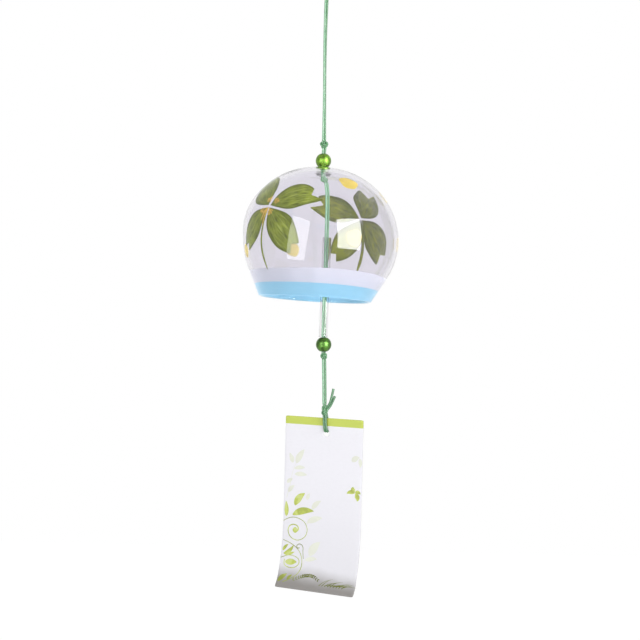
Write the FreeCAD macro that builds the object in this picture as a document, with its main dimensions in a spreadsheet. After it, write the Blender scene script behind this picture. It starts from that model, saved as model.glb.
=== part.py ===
"""Furin wind bell: a painted glass bell on a doubled cord, with beads, a glass clapper and a paper strip.

Frame: millimetres, +Z up, +X to the right as seen from the front, -Y towards the front.
The origin is where the hanging loop bears on its hook, so the whole bell hangs below it.
"""

import FreeCAD, Part
import math
import os

import Sketcher
from FreeCAD import Placement, Rotation, Vector

UP = Vector(0, 0, 1)
BACK = Vector(0, 1, 0)
ACROSS = Vector(1, 0, 0)

# Driving sizes, in millimetres.
SIZES = {
    # Cord. knot_sink is how far a strand runs into a knot of its own.
    "strand": 1.1,
    "strand_gap": 0.06,
    "joint_gap": 0.3,
    "knot_sink": 0.4,
    # Knots, from the top down.
    "loop_knot_width": 5.0,
    "loop_knot_height": 5.0,
    "upper_knot_width": 4.4,
    "upper_knot_height": 4.1,
    "inner_knot_width": 4.3,
    "inner_knot_height": 2.8,
    "lower_knot_width": 3.9,
    "lower_knot_height": 3.2,
    "tag_knot_width": 3.8,
    "tag_knot_height": 5.6,
    # Lengths of cord between the knots.
    "loop_length": 31.0,
    "hanging_length": 74.0,
    "neck_length": 14.1,
    "striker_length": 88.5,
    "tag_cord_length": 22.9,
    "tag_drop": 8.2,
    # Glass bell: heights are from its widest level.
    "bell_width": 80.0,
    "crown_height": 37.0,
    "flare_start": 17.0,
    "skirt_height": 30.0,
    "glass_wall": 2.0,
    "bell_bore": 1.9,
    "crown_lip": 0.8,
    "crown_flat": 0.2,
    "collar_radius": 3.4,
    "collar_depth": 3.4,
    "collar_edge": 0.45,
    "collar_root": 0.7,
    # Beads.
    "bead_width": 8.0,
    "bead_bore": 1.6,
    "bead_edge": 0.25,
    "bead_rise": 0.2,
    # Clapper.
    "clapper_width": 4.5,
    "clapper_wall": 0.5,
    "clapper_length": 51.3,
    "clapper_edge": 0.2,
    # Paper strip: flat above, then a gentle bow and a tighter curl at the foot.
    "paper_width": 44.5,
    "paper_thickness": 0.3,
    "paper_flat": 52.8,
    "bow_radius": 99.0,
    "foot_radius": 16.7,
    "paper_corner": 0.6,
    "paper_hole": 1.8,
    "hole_margin": 7.7,
    "hole_offset": 1.5,
    "hole_play": 0.7,
}

# In degrees.
ANGLES = {
    "loop_knot_angle": 25.0,
    "upper_knot_angle": -24.0,
    "inner_knot_angle": 10.0,
    "lower_knot_angle": -12.0,
    "tag_knot_angle": 8.0,
    "bell_lean_angle": 2.3,
    "bell_nod_angle": 1.8,
    "clapper_angle": 0.84,
    "paper_angle": 26.3,
    "bow_angle": 17.0,
    "foot_angle": 26.0,
}

# How far right of the hook each thing on the cord hangs, in millimetres.
PLACES = {
    "loop_knot_across": 0.0,
    "upper_knot_across": 0.75,
    "upper_bead_across": 0.5,
    "bell_across": 0.55,
    "inner_knot_across": 1.2,
    "clapper_across": 2.6,
    "lower_bead_across": 3.0,
    "lower_knot_across": 3.2,
    "tag_knot_across": 4.5,
    "tag_hole_across": 5.6,
}

# Routes of the cord, chosen by hand. A route of two strands is the line midway between them: across,
# back and up from the top of the stretch, and the turn at which they lie side by side, in degrees.
HANGING_ROUTE = [
    (0.05, 0.0, 0.0, 30),
    (-0.20, 0.1, -12.0, 38),
    (-0.15, 0.0, -31.0, 58),
    (0.25, -0.1, -50.0, 62),
    (0.40, 0.0, -65.0, 45),
    (0.55, 0.0, -74.0, 25),
]
NECK_ROUTE = [
    (0.80, 0.0, 0.0, 18),
    (0.50, 0.0, -3.6, 12),
    (0.50, 0.1, -10.0, 8),
    (0.85, 0.0, -14.1, 4),
]
STRIKER_ROUTE = [
    (2.20, 0.0, 0.0, 12),
    (2.90, 0.0, -4.0, 8),
    (3.15, 0.1, -9.5, 4),
    (3.20, 0.0, -20.0, 0),
    (3.10, -0.1, -36.0, -6),
    (2.95, 0.0, -55.0, 4),
    (2.80, 0.1, -71.0, 10),
    (2.85, 0.0, -80.0, 6),
    (3.00, 0.0, -84.5, 0),
    (3.10, 0.1, -88.5, -4),
]
TAG_CORD_ROUTE = [
    (3.40, 0.0, 0.0, 2),
    (3.60, 0.1, -5.0, 8),
    (3.95, 0.0, -14.0, -4),
    (4.20, 0.0, -22.9, -10),
]
# The hanging loop is one strand that goes up, over the hook and down: across, back and up.
LOOP_ROUTE = [
    (-0.60, 0.0, -30.7),
    (-1.90, 0.1, -26.0),
    (-3.90, 0.2, -18.5),
    (-4.70, 0.1, -9.0),
    (-4.10, 0.0, -2.6),
    (-2.10, 0.0, 0.55),
    (2.20, 0.0, 0.55),
    (4.20, -0.1, -3.0),
    (4.60, -0.2, -10.0),
    (3.70, -0.1, -19.0),
    (1.90, 0.0, -26.4),
    (0.60, 0.0, -30.7),
]
# The loop through the paper: along the paper, behind it and up, from where the paper's hole bears on it.
TAG_LOOP_ROUTE = [
    (-1.00, -0.5, 9.4),
    (-0.60, -1.4, 6.0),
    (0.00, -1.3, 0.0),
    (0.00, 1.3, 0.0),
    (-0.60, 1.4, 6.0),
    (-1.00, 0.5, 9.4),
]
# The two cut ends stand up from the right side of the tag knot: across, back and up from its middle.
LONG_TAIL_ROUTE = [
    (1.05, -0.3, 1.5),
    (2.30, -0.7, 3.0),
    (3.20, -0.9, 6.0),
    (4.15, -0.8, 11.2),
]
SHORT_TAIL_ROUTE = [
    (1.10, -0.1, 0.2),
    (2.60, 0.2, 1.8),
    (3.70, 0.3, 4.2),
    (5.00, 0.4, 7.3),
]

ARC_SHARE = 0.45
GROOVE_SHARE = 0.25
POLE_SHARE = 0.1
VOLUME_SHARE = 0.02
SAME_RING_SHARE = 0.01


def write_sheet(doc):
    """The spreadsheet that every piece reads its sizes from."""
    sheet = doc.addObject("Spreadsheet::Sheet", "sizes")
    row = 0
    for table in (SIZES, ANGLES, PLACES):
        for alias, number in table.items():
            row += 1
            sheet.set(f"A{row}", alias.replace("_", " "))
            sheet.set(f"B{row}", str(number))
            sheet.setAlias(f"B{row}", alias)
    doc.recompute()
    return sheet


doc = FreeCAD.newDocument("furin_wind_bell")
sheet = write_sheet(doc)
parts = []


def size(alias):
    """One number of the sheet."""
    return float(sheet.get(alias))


def bead_over_hole(bore):
    """How high a bead's middle stands over the edge of a hole that it rests on."""
    return math.sqrt((size("bead_width") / 2) ** 2 - bore**2)


def seats():
    """The height of every seat on the cord, from the hook down."""
    gap = size("joint_gap")
    sink = size("knot_sink")
    clapper_bore = size("clapper_width") / 2 - size("clapper_wall")
    at = {}
    at["loop_knot"] = -size("loop_length") - size("loop_knot_height") / 2
    at["hanging_top"] = -size("loop_length") - size("loop_knot_height") - gap
    upper_knot_top = at["hanging_top"] - size("hanging_length") - gap
    at["upper_knot"] = upper_knot_top - size("upper_knot_height") / 2
    at["neck_top"] = upper_knot_top - size("upper_knot_height") + sink
    inner_knot_top = at["neck_top"] - size("neck_length") - gap
    at["inner_knot"] = inner_knot_top - size("inner_knot_height") / 2
    at["crown"] = inner_knot_top + gap + size("collar_depth")
    at["upper_bead"] = at["crown"] + bead_over_hole(size("bell_bore")) + gap + size("bead_rise")
    at["striker_top"] = inner_knot_top - size("inner_knot_height") - gap
    lower_knot_top = at["striker_top"] - size("striker_length") + sink
    at["lower_bead"] = lower_knot_top + gap + size("bead_width") / 2
    at["clapper_foot"] = at["lower_bead"] + bead_over_hole(clapper_bore) + gap
    at["lower_knot"] = lower_knot_top - size("lower_knot_height") / 2
    at["tag_cord_top"] = lower_knot_top - size("lower_knot_height") - gap
    tag_knot_top = at["tag_cord_top"] - size("tag_cord_length") - gap
    at["tag_knot"] = tag_knot_top - size("tag_knot_height") / 2
    at["tag_bearing"] = tag_knot_top - size("tag_knot_height") - size("tag_drop")
    return at


# Helpers for the turned and extruded pieces


def new_body(label):
    body = doc.addObject("PartDesign::Body", label)
    body.Label = label
    parts.append(body)
    return body


def new_sketch(body, name, role):
    """A sketch on one of the body's own origin planes."""
    sketch = body.newObject("Sketcher::SketchObject", name)
    plane = next(f for f in body.Origin.OriginFeatures if f.Role == role)
    sketch.AttachmentSupport = [(plane, "")]
    sketch.MapMode = "FlatFace"
    return sketch


def tie(sketch, kind, *ends):
    """A constraint with no size of its own."""
    sketch.addConstraint(Sketcher.Constraint(kind, *ends))


def bind(sketch, expression, kind, *ends):
    """A dimension tied to the sheet. The last of ends is its value as drawn."""
    number = sketch.addConstraint(Sketcher.Constraint(kind, *ends))
    sketch.setExpression(f"Constraints[{number}]", expression)


def flat(across, up):
    """A point in a sketch's plane."""
    return Vector(across, up, 0)


def line(sketch, start, end):
    return sketch.addGeometry(Part.LineSegment(start, end), False)


def arc(sketch, centre, radius, start, end):
    """An arc that runs anticlockwise between two angles in degrees."""
    circle = Part.Circle(centre, UP, radius)
    piece = Part.ArcOfCircle(circle, math.radians(start), math.radians(end))
    return sketch.addGeometry(piece, False)


def revolve(body, sketch):
    turned = body.newObject("PartDesign::Revolution", f"{body.Label}_turned")
    turned.Profile = sketch
    turned.ReferenceAxis = (sketch, ["V_Axis"])
    turned.Angle = 360
    doc.recompute()
    return turned


def round_off(body, base, name, chosen, alias):
    """Rounds the edges of base that chosen says yes to, by a size of the sheet."""
    edges = [f"Edge{number}" for number, edge in enumerate(base.Shape.Edges, 1) if chosen(edge)]
    fillet = body.newObject("PartDesign::Fillet", name)
    fillet.Base = (base, edges)
    fillet.setExpression("Radius", f"sizes.{alias}")
    doc.recompute()
    return fillet


def is_ring(edge, radius, level):
    """True for a whole circular edge of that radius, at that height."""
    near = radius * SAME_RING_SHARE
    curve = edge.Curve
    if not isinstance(curve, Part.Circle):
        return False
    return abs(curve.Radius - radius) < near and abs(curve.Center.z - level) < near


# Glass bell


def draw_bell_section(sketch):
    """Half of the bell's section. Returns the heights of its top, its collar's foot and its ceiling."""
    crown = size("crown_height")
    wall = size("glass_wall")
    bore = size("bell_bore")
    lip = size("crown_lip")
    collar = size("collar_radius")
    middle = size("bell_width") / 2 - crown
    edge = max(middle, bore + lip + size("crown_flat"))
    top = math.sqrt(crown**2 - (edge - middle) ** 2)
    foot = top - size("collar_depth")
    ceiling = math.sqrt((crown - wall) ** 2 - (collar - middle) ** 2)
    turn = math.asin(size("flare_start") / crown)
    outward = flat(math.cos(turn), -math.sin(turn))
    along = flat(math.sin(turn), math.cos(turn))
    skirt_run = along * ((size("skirt_height") - size("flare_start")) / along.y)
    centre = flat(middle, 0)
    knee = centre + outward * crown
    inner_knee = centre + outward * (crown - wall)
    rim = knee - skirt_run
    inner_rim = inner_knee - skirt_run
    flare = math.degrees(turn)
    dome_end = math.degrees(math.atan2(top, edge - middle))
    ceiling_end = math.degrees(math.atan2(ceiling, collar - middle))

    bore_wall = line(sketch, flat(bore, foot), flat(bore, top - lip))
    mouth_lip = arc(sketch, flat(bore + lip, top - lip), lip, 90, 180)
    crown_flat = line(sketch, flat(bore + lip, top), flat(edge, top))
    dome = arc(sketch, centre, crown, -flare, dome_end)
    skirt = line(sketch, knee, rim)
    rim_lip = arc(sketch, (rim + inner_rim) * 0.5, wall / 2, 180 - flare, 360 - flare)
    inner_skirt = line(sketch, inner_rim, inner_knee)
    inner_dome = arc(sketch, centre, crown - wall, -flare, ceiling_end)
    collar_wall = line(sketch, flat(collar, ceiling), flat(collar, foot))
    collar_foot = line(sketch, flat(collar, foot), flat(bore, foot))

    tie(sketch, "Tangent", bore_wall, 2, mouth_lip, 2)
    tie(sketch, "Tangent", mouth_lip, 1, crown_flat, 1)
    tie(sketch, "Coincident", crown_flat, 2, dome, 2)
    tie(sketch, "Tangent", dome, 1, skirt, 1)
    tie(sketch, "Tangent", skirt, 2, rim_lip, 2)
    tie(sketch, "Tangent", rim_lip, 1, inner_skirt, 1)
    tie(sketch, "Tangent", inner_skirt, 2, inner_dome, 1)
    tie(sketch, "Coincident", inner_dome, 2, collar_wall, 1)
    tie(sketch, "Coincident", collar_wall, 2, collar_foot, 1)
    tie(sketch, "Coincident", collar_foot, 2, bore_wall, 1)
    tie(sketch, "Coincident", dome, 3, inner_dome, 3)
    tie(sketch, "PointOnObject", dome, 3, -1)
    tie(sketch, "Vertical", bore_wall)
    tie(sketch, "Vertical", collar_wall)
    tie(sketch, "Horizontal", crown_flat)
    tie(sketch, "Horizontal", collar_foot)
    arc_middle = "sizes.bell_width / 2 - sizes.crown_height"
    lip_end = "sizes.bell_bore + sizes.crown_lip + sizes.crown_flat"
    bind(sketch, "sizes.crown_height", "Radius", dome, crown)
    bind(sketch, "sizes.crown_height - sizes.glass_wall", "Radius", inner_dome, crown - wall)
    bind(sketch, arc_middle, "DistanceX", dome, 3, middle)
    bind(sketch, "sizes.bell_bore", "DistanceX", bore_wall, 1, bore)
    bind(sketch, "sizes.crown_lip", "Radius", mouth_lip, lip)
    bind(sketch, f"max({arc_middle}; {lip_end})", "DistanceX", crown_flat, 2, edge)
    bind(sketch, "sizes.collar_radius", "DistanceX", collar_wall, 1, collar)
    bind(sketch, "sizes.collar_depth", "DistanceY", collar_foot, 1, crown_flat, 2, top - foot)
    bind(sketch, "-sizes.flare_start", "DistanceY", dome, 1, knee.y)
    bind(sketch, "-sizes.skirt_height", "DistanceY", skirt, 2, rim.y)
    return top, foot, ceiling


def make_bell(at):
    """The blown glass: a dome, a skirt that draws in to the mouth, and a collar turned in at the hole."""
    body = new_body("glass_bell")
    sketch = new_sketch(body, "bell_section", "XZ_Plane")
    top, foot, ceiling = draw_bell_section(sketch)
    turned = revolve(body, sketch)
    collar = size("collar_radius")
    bore = size("bell_bore")
    rounded = round_off(
        body,
        turned,
        "collar_foot_round",
        lambda edge: is_ring(edge, collar, foot) or is_ring(edge, bore, foot),
        "collar_edge",
    )
    round_off(body, rounded, "collar_root_round", lambda edge: is_ring(edge, collar, ceiling), "collar_root")
    lean = Rotation(0, size("bell_lean_angle"), -size("bell_nod_angle"))
    hole = Vector(size("bell_across"), 0, at["crown"])
    body.Placement = Placement(hole - lean.multVec(UP * top), lean)


# Beads and clapper


def make_bead(label, across, height):
    """A round bead with a wide bore, its edges eased."""
    body = new_body(label)
    sketch = new_sketch(body, f"{label}_section", "XZ_Plane")
    round_radius = size("bead_width") / 2
    bore = size("bead_bore")
    reach = bead_over_hole(bore)
    half_turn = math.degrees(math.asin(reach / round_radius))
    outside = arc(sketch, flat(0, 0), round_radius, -half_turn, half_turn)
    bore_wall = line(sketch, flat(bore, reach), flat(bore, -reach))
    tie(sketch, "Coincident", outside, 3, -1, 1)
    tie(sketch, "Coincident", outside, 2, bore_wall, 1)
    tie(sketch, "Coincident", bore_wall, 2, outside, 1)
    tie(sketch, "Vertical", bore_wall)
    bind(sketch, "sizes.bead_width / 2", "Radius", outside, round_radius)
    bind(sketch, "sizes.bead_bore", "DistanceX", bore_wall, 1, bore)
    turned = revolve(body, sketch)
    round_off(
        body,
        turned,
        f"{label}_round",
        lambda edge: is_ring(edge, bore, reach) or is_ring(edge, bore, -reach),
        "bead_edge",
    )
    body.Placement = Placement(Vector(size(across), 0, height), Rotation())


def make_clapper(at):
    """A straight glass tube with its ends melted round."""
    body = new_body("clapper_tube")
    sketch = new_sketch(body, "clapper_section", "XY_Plane")
    outer = size("clapper_width") / 2
    inner = outer - size("clapper_wall")
    for radius, expression in (
        (outer, "sizes.clapper_width / 2"),
        (inner, "sizes.clapper_width / 2 - sizes.clapper_wall"),
    ):
        ring = sketch.addGeometry(Part.Circle(flat(0, 0), UP, radius), False)
        tie(sketch, "Coincident", ring, 3, -1, 1)
        bind(sketch, expression, "Radius", ring, radius)
    pad = body.newObject("PartDesign::Pad", "clapper_length")
    pad.Profile = sketch
    pad.setExpression("Length", "sizes.clapper_length")
    doc.recompute()
    round_off(
        body,
        pad,
        "clapper_ends",
        lambda edge: isinstance(edge.Curve, Part.Circle),
        "clapper_edge",
    )
    lean = Rotation(BACK, size("clapper_angle"))
    body.Placement = Placement(Vector(size("clapper_across"), 0, at["clapper_foot"]), lean)


# Paper strip


def draw_paper_edge(sketch):
    """The strip seen from its side: a flat, a gentle bow and a tighter curl, all towards the front."""
    half = size("paper_thickness") / 2
    top = size("hole_margin")
    bow = size("bow_radius")
    curl = size("foot_radius")
    bow_turn = size("bow_angle")
    full_turn = bow_turn + size("foot_angle")
    level = top - size("paper_flat")
    bow_centre = flat(-bow, level)

    def inward(turn):
        """From an arc's middle towards the paper, after this much turn."""
        return flat(math.cos(math.radians(turn)), -math.sin(math.radians(turn)))

    curl_centre = bow_centre + inward(bow_turn) * (bow - curl)
    foot = curl_centre + inward(full_turn) * curl
    back_flat = line(sketch, flat(half, top), flat(half, level))
    back_bow = arc(sketch, bow_centre, bow + half, -bow_turn, 0)
    back_curl = arc(sketch, curl_centre, curl + half, -full_turn, -bow_turn)
    foot_end = line(sketch, foot + inward(full_turn) * half, foot - inward(full_turn) * half)
    front_curl = arc(sketch, curl_centre, curl - half, -full_turn, -bow_turn)
    front_bow = arc(sketch, bow_centre, bow - half, -bow_turn, 0)
    front_flat = line(sketch, flat(-half, level), flat(-half, top))
    top_end = line(sketch, flat(-half, top), flat(half, top))

    tie(sketch, "Tangent", back_flat, 2, back_bow, 2)
    tie(sketch, "Tangent", back_bow, 1, back_curl, 2)
    tie(sketch, "Perpendicular", back_curl, 1, foot_end, 1)
    tie(sketch, "Coincident", foot_end, 2, front_curl, 1)
    tie(sketch, "Tangent", front_curl, 2, front_bow, 1)
    tie(sketch, "Tangent", front_bow, 2, front_flat, 1)
    tie(sketch, "Coincident", front_flat, 2, top_end, 1)
    tie(sketch, "Coincident", top_end, 2, back_flat, 1)
    tie(sketch, "Coincident", back_bow, 3, front_bow, 3)
    tie(sketch, "Coincident", back_curl, 3, front_curl, 3)
    tie(sketch, "Vertical", back_flat)
    tie(sketch, "Horizontal", top_end)
    bind(sketch, "sizes.paper_thickness / 2", "DistanceX", back_flat, 1, half)
    bind(sketch, "sizes.paper_thickness", "DistanceX", front_flat, 2, back_flat, 1, 2 * half)
    bind(sketch, "sizes.hole_margin", "DistanceY", back_flat, 1, top)
    bind(sketch, "sizes.hole_margin - sizes.paper_flat", "DistanceY", back_flat, 2, level)
    bind(sketch, "sizes.bow_radius + sizes.paper_thickness / 2", "Radius", back_bow, bow + half)
    bind(sketch, "sizes.foot_radius + sizes.paper_thickness / 2", "Radius", back_curl, curl + half)
    bind(sketch, "sizes.bow_angle * 1 deg", "Angle", back_bow, math.radians(bow_turn))
    bind(sketch, "sizes.foot_angle * 1 deg", "Angle", back_curl, math.radians(full_turn - bow_turn))


def make_paper(at):
    """The paper strip with its punched hole. Its own origin is level with the hole, midway across."""
    body = new_body("paper_tag")
    side = new_sketch(body, "paper_edge", "YZ_Plane")
    draw_paper_edge(side)
    pad = body.newObject("PartDesign::Pad", "paper_width")
    pad.Profile = side
    pad.SideType = "Symmetric"
    pad.setExpression("Length", "sizes.paper_width")
    doc.recompute()
    before = pad.Shape.Volume
    face = new_sketch(body, "hole_place", "XZ_Plane")
    radius = size("paper_hole")
    hole = face.addGeometry(Part.Circle(flat(size("hole_offset"), 0), UP, radius), False)
    bind(face, "sizes.hole_offset", "DistanceX", hole, 3, size("hole_offset"))
    tie(face, "PointOnObject", hole, 3, -1)
    bind(face, "sizes.paper_hole", "Radius", hole, radius)
    cut = body.newObject("PartDesign::Pocket", "punched_hole")
    cut.Profile = face
    cut.Type = "ThroughAll"
    cut.SideType = "Symmetric"
    doc.recompute()
    removed = math.pi * radius**2 * size("paper_thickness")
    if abs(before - cut.Shape.Volume - removed) > removed * VOLUME_SHARE:
        raise RuntimeError("the punched hole isn't right through the paper")
    thick = size("paper_thickness")
    round_off(
        body,
        cut,
        "paper_corners",
        lambda edge: isinstance(edge.Curve, Part.Line) and abs(edge.Length - thick) < thick * VOLUME_SHARE,
        "paper_corner",
    )
    turn = Rotation(UP, -size("paper_angle"))
    bearing = Vector(size("tag_hole_across"), 0, at["tag_bearing"])
    hole_place = turn.multVec(ACROSS * size("hole_offset")) + UP * size("hole_play")
    body.Placement = Placement(bearing - hole_place, turn)


# Knots


def make_knot(label, height):
    """A knot: a rounded ball of cord, ribbed by the turns of the strand, leaning its own way."""
    wide = size(f"{label}_width") / 2
    tall = size(f"{label}_height") / 2
    groove = size("strand") * GROOVE_SHARE
    turns = max(2, round(math.pi * (wide + tall) / 2 / size("strand")))
    pole = math.pi / 2 * (1 - POLE_SHARE)
    step = 2 * pole / turns

    def skin_point(angle, depth):
        return Vector((wide - depth) * math.cos(angle), 0, (tall - depth) * math.sin(angle))

    section = []
    for number in range(turns):
        low = number * step - pole
        valley = skin_point(low, groove)
        crest = skin_point(low + step / 2, 0)
        next_valley = skin_point(low + step, groove)
        section.append(Part.Arc(valley, crest, next_valley).toShape())
    top = skin_point(pole, groove)
    foot = skin_point(-pole, groove)
    axis_top = Vector(0, 0, top.z)
    axis_foot = Vector(0, 0, foot.z)
    for start, end in ((top, axis_top), (axis_top, axis_foot), (axis_foot, foot)):
        section.append(Part.LineSegment(start, end).toShape())
    knot = doc.addObject("Part::Feature", label)
    knot.Label = label
    knot.Shape = Part.Face(Part.Wire(section)).revolve(Vector(), UP, 360)
    place = Vector(size(f"{label}_across"), 0, height)
    knot.Placement = Placement(place, Rotation(BACK, size(f"{label}_angle")))
    parts.append(knot)


# Cord


def strand_shape(label, points):
    """A strand along straight runs joined by arcs, each as large as its two runs allow."""
    width = size("strand")
    edges = []
    radii = []
    last = points[0]
    for before, corner, after in zip(points, points[1:], points[2:]):
        arrive = (corner - before).normalize()
        leave = (after - corner).normalize()
        turn = arrive.getAngle(leave)
        reach = ARC_SHARE * min((corner - before).Length, (after - corner).Length)
        radius = reach / math.tan(turn / 2)
        to_middle = (leave - arrive).normalize()
        nearest = corner + to_middle * (radius / math.cos(turn / 2) - radius)
        start = corner - arrive * reach
        end = corner + leave * reach
        edges.append(Part.LineSegment(last, start).toShape())
        edges.append(Part.Arc(start, nearest, end).toShape())
        radii.append(radius)
        last = end
    edges.append(Part.LineSegment(last, points[-1]).toShape())
    path = Part.Wire(edges)
    ring = Part.Wire([Part.makeCircle(width / 2, points[0], points[1] - points[0])])
    shape = path.makePipeShell([ring], True, False)
    section = math.pi * width**2 / 4
    if abs(shape.Volume - section * path.Length) > section * path.Length * VOLUME_SHARE:
        raise RuntimeError(f"{label}: its volume isn't its section times its length")
    print(f"{label}: {path.Length:.1f} long, tightest bend {min(radii):.1f}")
    return shape


def add_cord(label, shape, placement):
    piece = doc.addObject("Part::Feature", label)
    piece.Label = label
    piece.Shape = shape
    piece.Placement = placement
    parts.append(piece)


def side_points(route, side):
    """One strand of a pair: half a pitch to the side of the middle line, along the route's own turn."""
    half_pitch = (size("strand") + size("strand_gap")) / 2
    points = []
    for across, back, up, turn in route:
        beside = Rotation(UP, turn).multVec(ACROSS) * (side * half_pitch)
        points.append(Vector(across, back, up) + beside)
    return points


def make_pair(label, route, top):
    """Two strands side by side, hung from this height."""
    for side, name in ((-1, "left"), (1, "right")):
        node = f"{label}_{name}"
        shape = strand_shape(node, side_points(route, side))
        add_cord(node, shape, Placement(UP * top, Rotation()))


def make_tag_loop(at):
    """Both strands go down in front of the paper, through its hole and up behind it."""
    route = [(along, back, up, 0) for along, back, up in TAG_LOOP_ROUTE]
    strands = [strand_shape("tag_loop", side_points(route, side)) for side in (-1, 1)]
    bearing = Vector(size("tag_hole_across"), 0, at["tag_bearing"])
    turn = Rotation(UP, -size("paper_angle"))
    add_cord("tag_loop", Part.Compound(strands), Placement(bearing, turn))


def make_single(label, route, across, height):
    shape = strand_shape(label, [Vector(*point) for point in route])
    add_cord(label, shape, Placement(Vector(across, 0, height), Rotation()))


def make_cord(at):
    """The one long cord, from the hook down: its loop, its stretches and its knots."""
    make_single("hanging_loop", LOOP_ROUTE, 0, 0)
    make_knot("loop_knot", at["loop_knot"])
    make_pair("hanging_cord", HANGING_ROUTE, at["hanging_top"])
    make_knot("upper_knot", at["upper_knot"])
    make_pair("neck_cord", NECK_ROUTE, at["neck_top"])
    make_knot("inner_knot", at["inner_knot"])
    make_pair("striker_cord", STRIKER_ROUTE, at["striker_top"])
    make_knot("lower_knot", at["lower_knot"])
    make_pair("tag_cord", TAG_CORD_ROUTE, at["tag_cord_top"])
    make_knot("tag_knot", at["tag_knot"])
    make_tag_loop(at)
    make_single("tag_tail_long", LONG_TAIL_ROUTE, size("tag_knot_across"), at["tag_knot"])
    make_single("tag_tail_short", SHORT_TAIL_ROUTE, size("tag_knot_across"), at["tag_knot"])


def check_and_write():
    """Stops if anything in the document failed, then writes each piece to its own file."""
    doc.recompute()
    for thing in doc.Objects:
        if "Invalid" in thing.State or "Error" in thing.State:
            raise RuntimeError(f"{thing.Label} failed: {thing.State}")
    for piece in parts:
        if piece.Shape.isNull() or not piece.Shape.isValid() or not piece.Shape.Solids:
            raise RuntimeError(f"{piece.Label} has no sound solid")
    os.makedirs("parts", exist_ok=True)
    for piece in parts:
        piece.Shape.exportStep(f"parts/{piece.Label}.step")
        print(f"{piece.Label}: {len(piece.Shape.Solids)} solid, {piece.Shape.Volume:.2f} cubic mm")


at = seats()
make_cord(at)
make_bell(at)
make_bead("upper_bead", "upper_bead_across", at["upper_bead"])
make_clapper(at)
make_bead("lower_bead", "lower_bead_across", at["lower_bead"])
make_paper(at)
check_and_write()
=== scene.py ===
import math
from functools import partial

import bmesh
import bpy
from bpy.props import FloatProperty, FloatVectorProperty, IntProperty, PointerProperty
from mathutils import Matrix, Vector


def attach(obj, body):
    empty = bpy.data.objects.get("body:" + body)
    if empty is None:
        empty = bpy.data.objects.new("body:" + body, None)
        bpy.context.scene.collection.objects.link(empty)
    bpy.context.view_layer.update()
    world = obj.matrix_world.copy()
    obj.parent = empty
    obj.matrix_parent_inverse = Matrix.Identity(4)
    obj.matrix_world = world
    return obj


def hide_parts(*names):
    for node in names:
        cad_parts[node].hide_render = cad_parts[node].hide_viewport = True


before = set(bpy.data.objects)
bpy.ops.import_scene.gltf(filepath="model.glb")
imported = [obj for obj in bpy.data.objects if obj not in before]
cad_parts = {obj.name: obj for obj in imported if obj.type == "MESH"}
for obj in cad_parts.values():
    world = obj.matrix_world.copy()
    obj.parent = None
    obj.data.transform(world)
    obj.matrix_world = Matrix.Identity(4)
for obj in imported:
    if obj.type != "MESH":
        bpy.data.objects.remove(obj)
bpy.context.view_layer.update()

bl_info = {
    "name": "Furin wind bell",
    "version": (1, 0, 0),
    "blender": (4, 5, 0),
    "location": "3D View > Sidebar > Furin",
    "description": "Dresses the wind bell: painted glass, beads, clapper, doubled cord and paper strip",
    "category": "Object",
}

# Routes of the cord, as in the part's source but in metres: across, back and up from the top of the
# stretch, and the turn at which the two strands lie side by side, in degrees.
HANGING_ROUTE = [
    (0.00005, 0.0, 0.0, 30), (-0.0002, 0.0001, -0.012, 38), (-0.00015, 0.0, -0.031, 58),
    (0.00025, -0.0001, -0.05, 62), (0.0004, 0.0, -0.065, 45), (0.00055, 0.0, -0.074, 25),
]
NECK_ROUTE = [
    (0.0008, 0.0, 0.0, 18), (0.0005, 0.0, -0.0036, 12), (0.0005, 0.0001, -0.01, 8),
    (0.00085, 0.0, -0.0141, 4),
]
STRIKER_ROUTE = [
    (0.0022, 0.0, 0.0, 12), (0.0029, 0.0, -0.004, 8), (0.00315, 0.0001, -0.0095, 4),
    (0.0032, 0.0, -0.02, 0), (0.0031, -0.0001, -0.036, -6), (0.00295, 0.0, -0.055, 4),
    (0.0028, 0.0001, -0.071, 10), (0.00285, 0.0, -0.08, 6), (0.003, 0.0, -0.0845, 0),
    (0.0031, 0.0001, -0.0885, -4),
]
TAG_CORD_ROUTE = [
    (0.0034, 0.0, 0.0, 2), (0.0036, 0.0001, -0.005, 8), (0.00395, 0.0, -0.014, -4),
    (0.0042, 0.0, -0.0229, -10),
]
LOOP_ROUTE = [
    (-0.0006, 0.0, -0.0307), (-0.0019, 0.0001, -0.026), (-0.0039, 0.0002, -0.0185),
    (-0.0047, 0.0001, -0.009), (-0.0041, 0.0, -0.0026), (-0.0021, 0.0, 0.00055), (0.0022, 0.0, 0.00055),
    (0.0042, -0.0001, -0.003), (0.0046, -0.0002, -0.01), (0.0037, -0.0001, -0.019),
    (0.0019, 0.0, -0.0264), (0.0006, 0.0, -0.0307),
]
TAG_LOOP_ROUTE = [
    (-0.001, -0.0005, 0.0094), (-0.0006, -0.0014, 0.006), (0.0, -0.0013, 0.0), (0.0, 0.0013, 0.0),
    (-0.0006, 0.0014, 0.006), (-0.001, 0.0005, 0.0094),
]
LONG_TAIL_ROUTE = [
    (0.00105, -0.0003, 0.0015), (0.0023, -0.0007, 0.003), (0.0032, -0.0009, 0.006),
    (0.00415, -0.0008, 0.0112),
]
SHORT_TAIL_ROUTE = [
    (0.0011, -0.0001, 0.0002), (0.0026, 0.0002, 0.0018), (0.0037, 0.0003, 0.0042),
    (0.005, 0.0004, 0.0073),
]
# Heights of the cord's seats below the hook.
HANGING_TOP = -0.0363
NECK_TOP = -0.1143
STRIKER_TOP = -0.1318
TAG_CORD_TOP = -0.2234
TAG_BEARING = (0.0056, 0.0, -0.2604)

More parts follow.
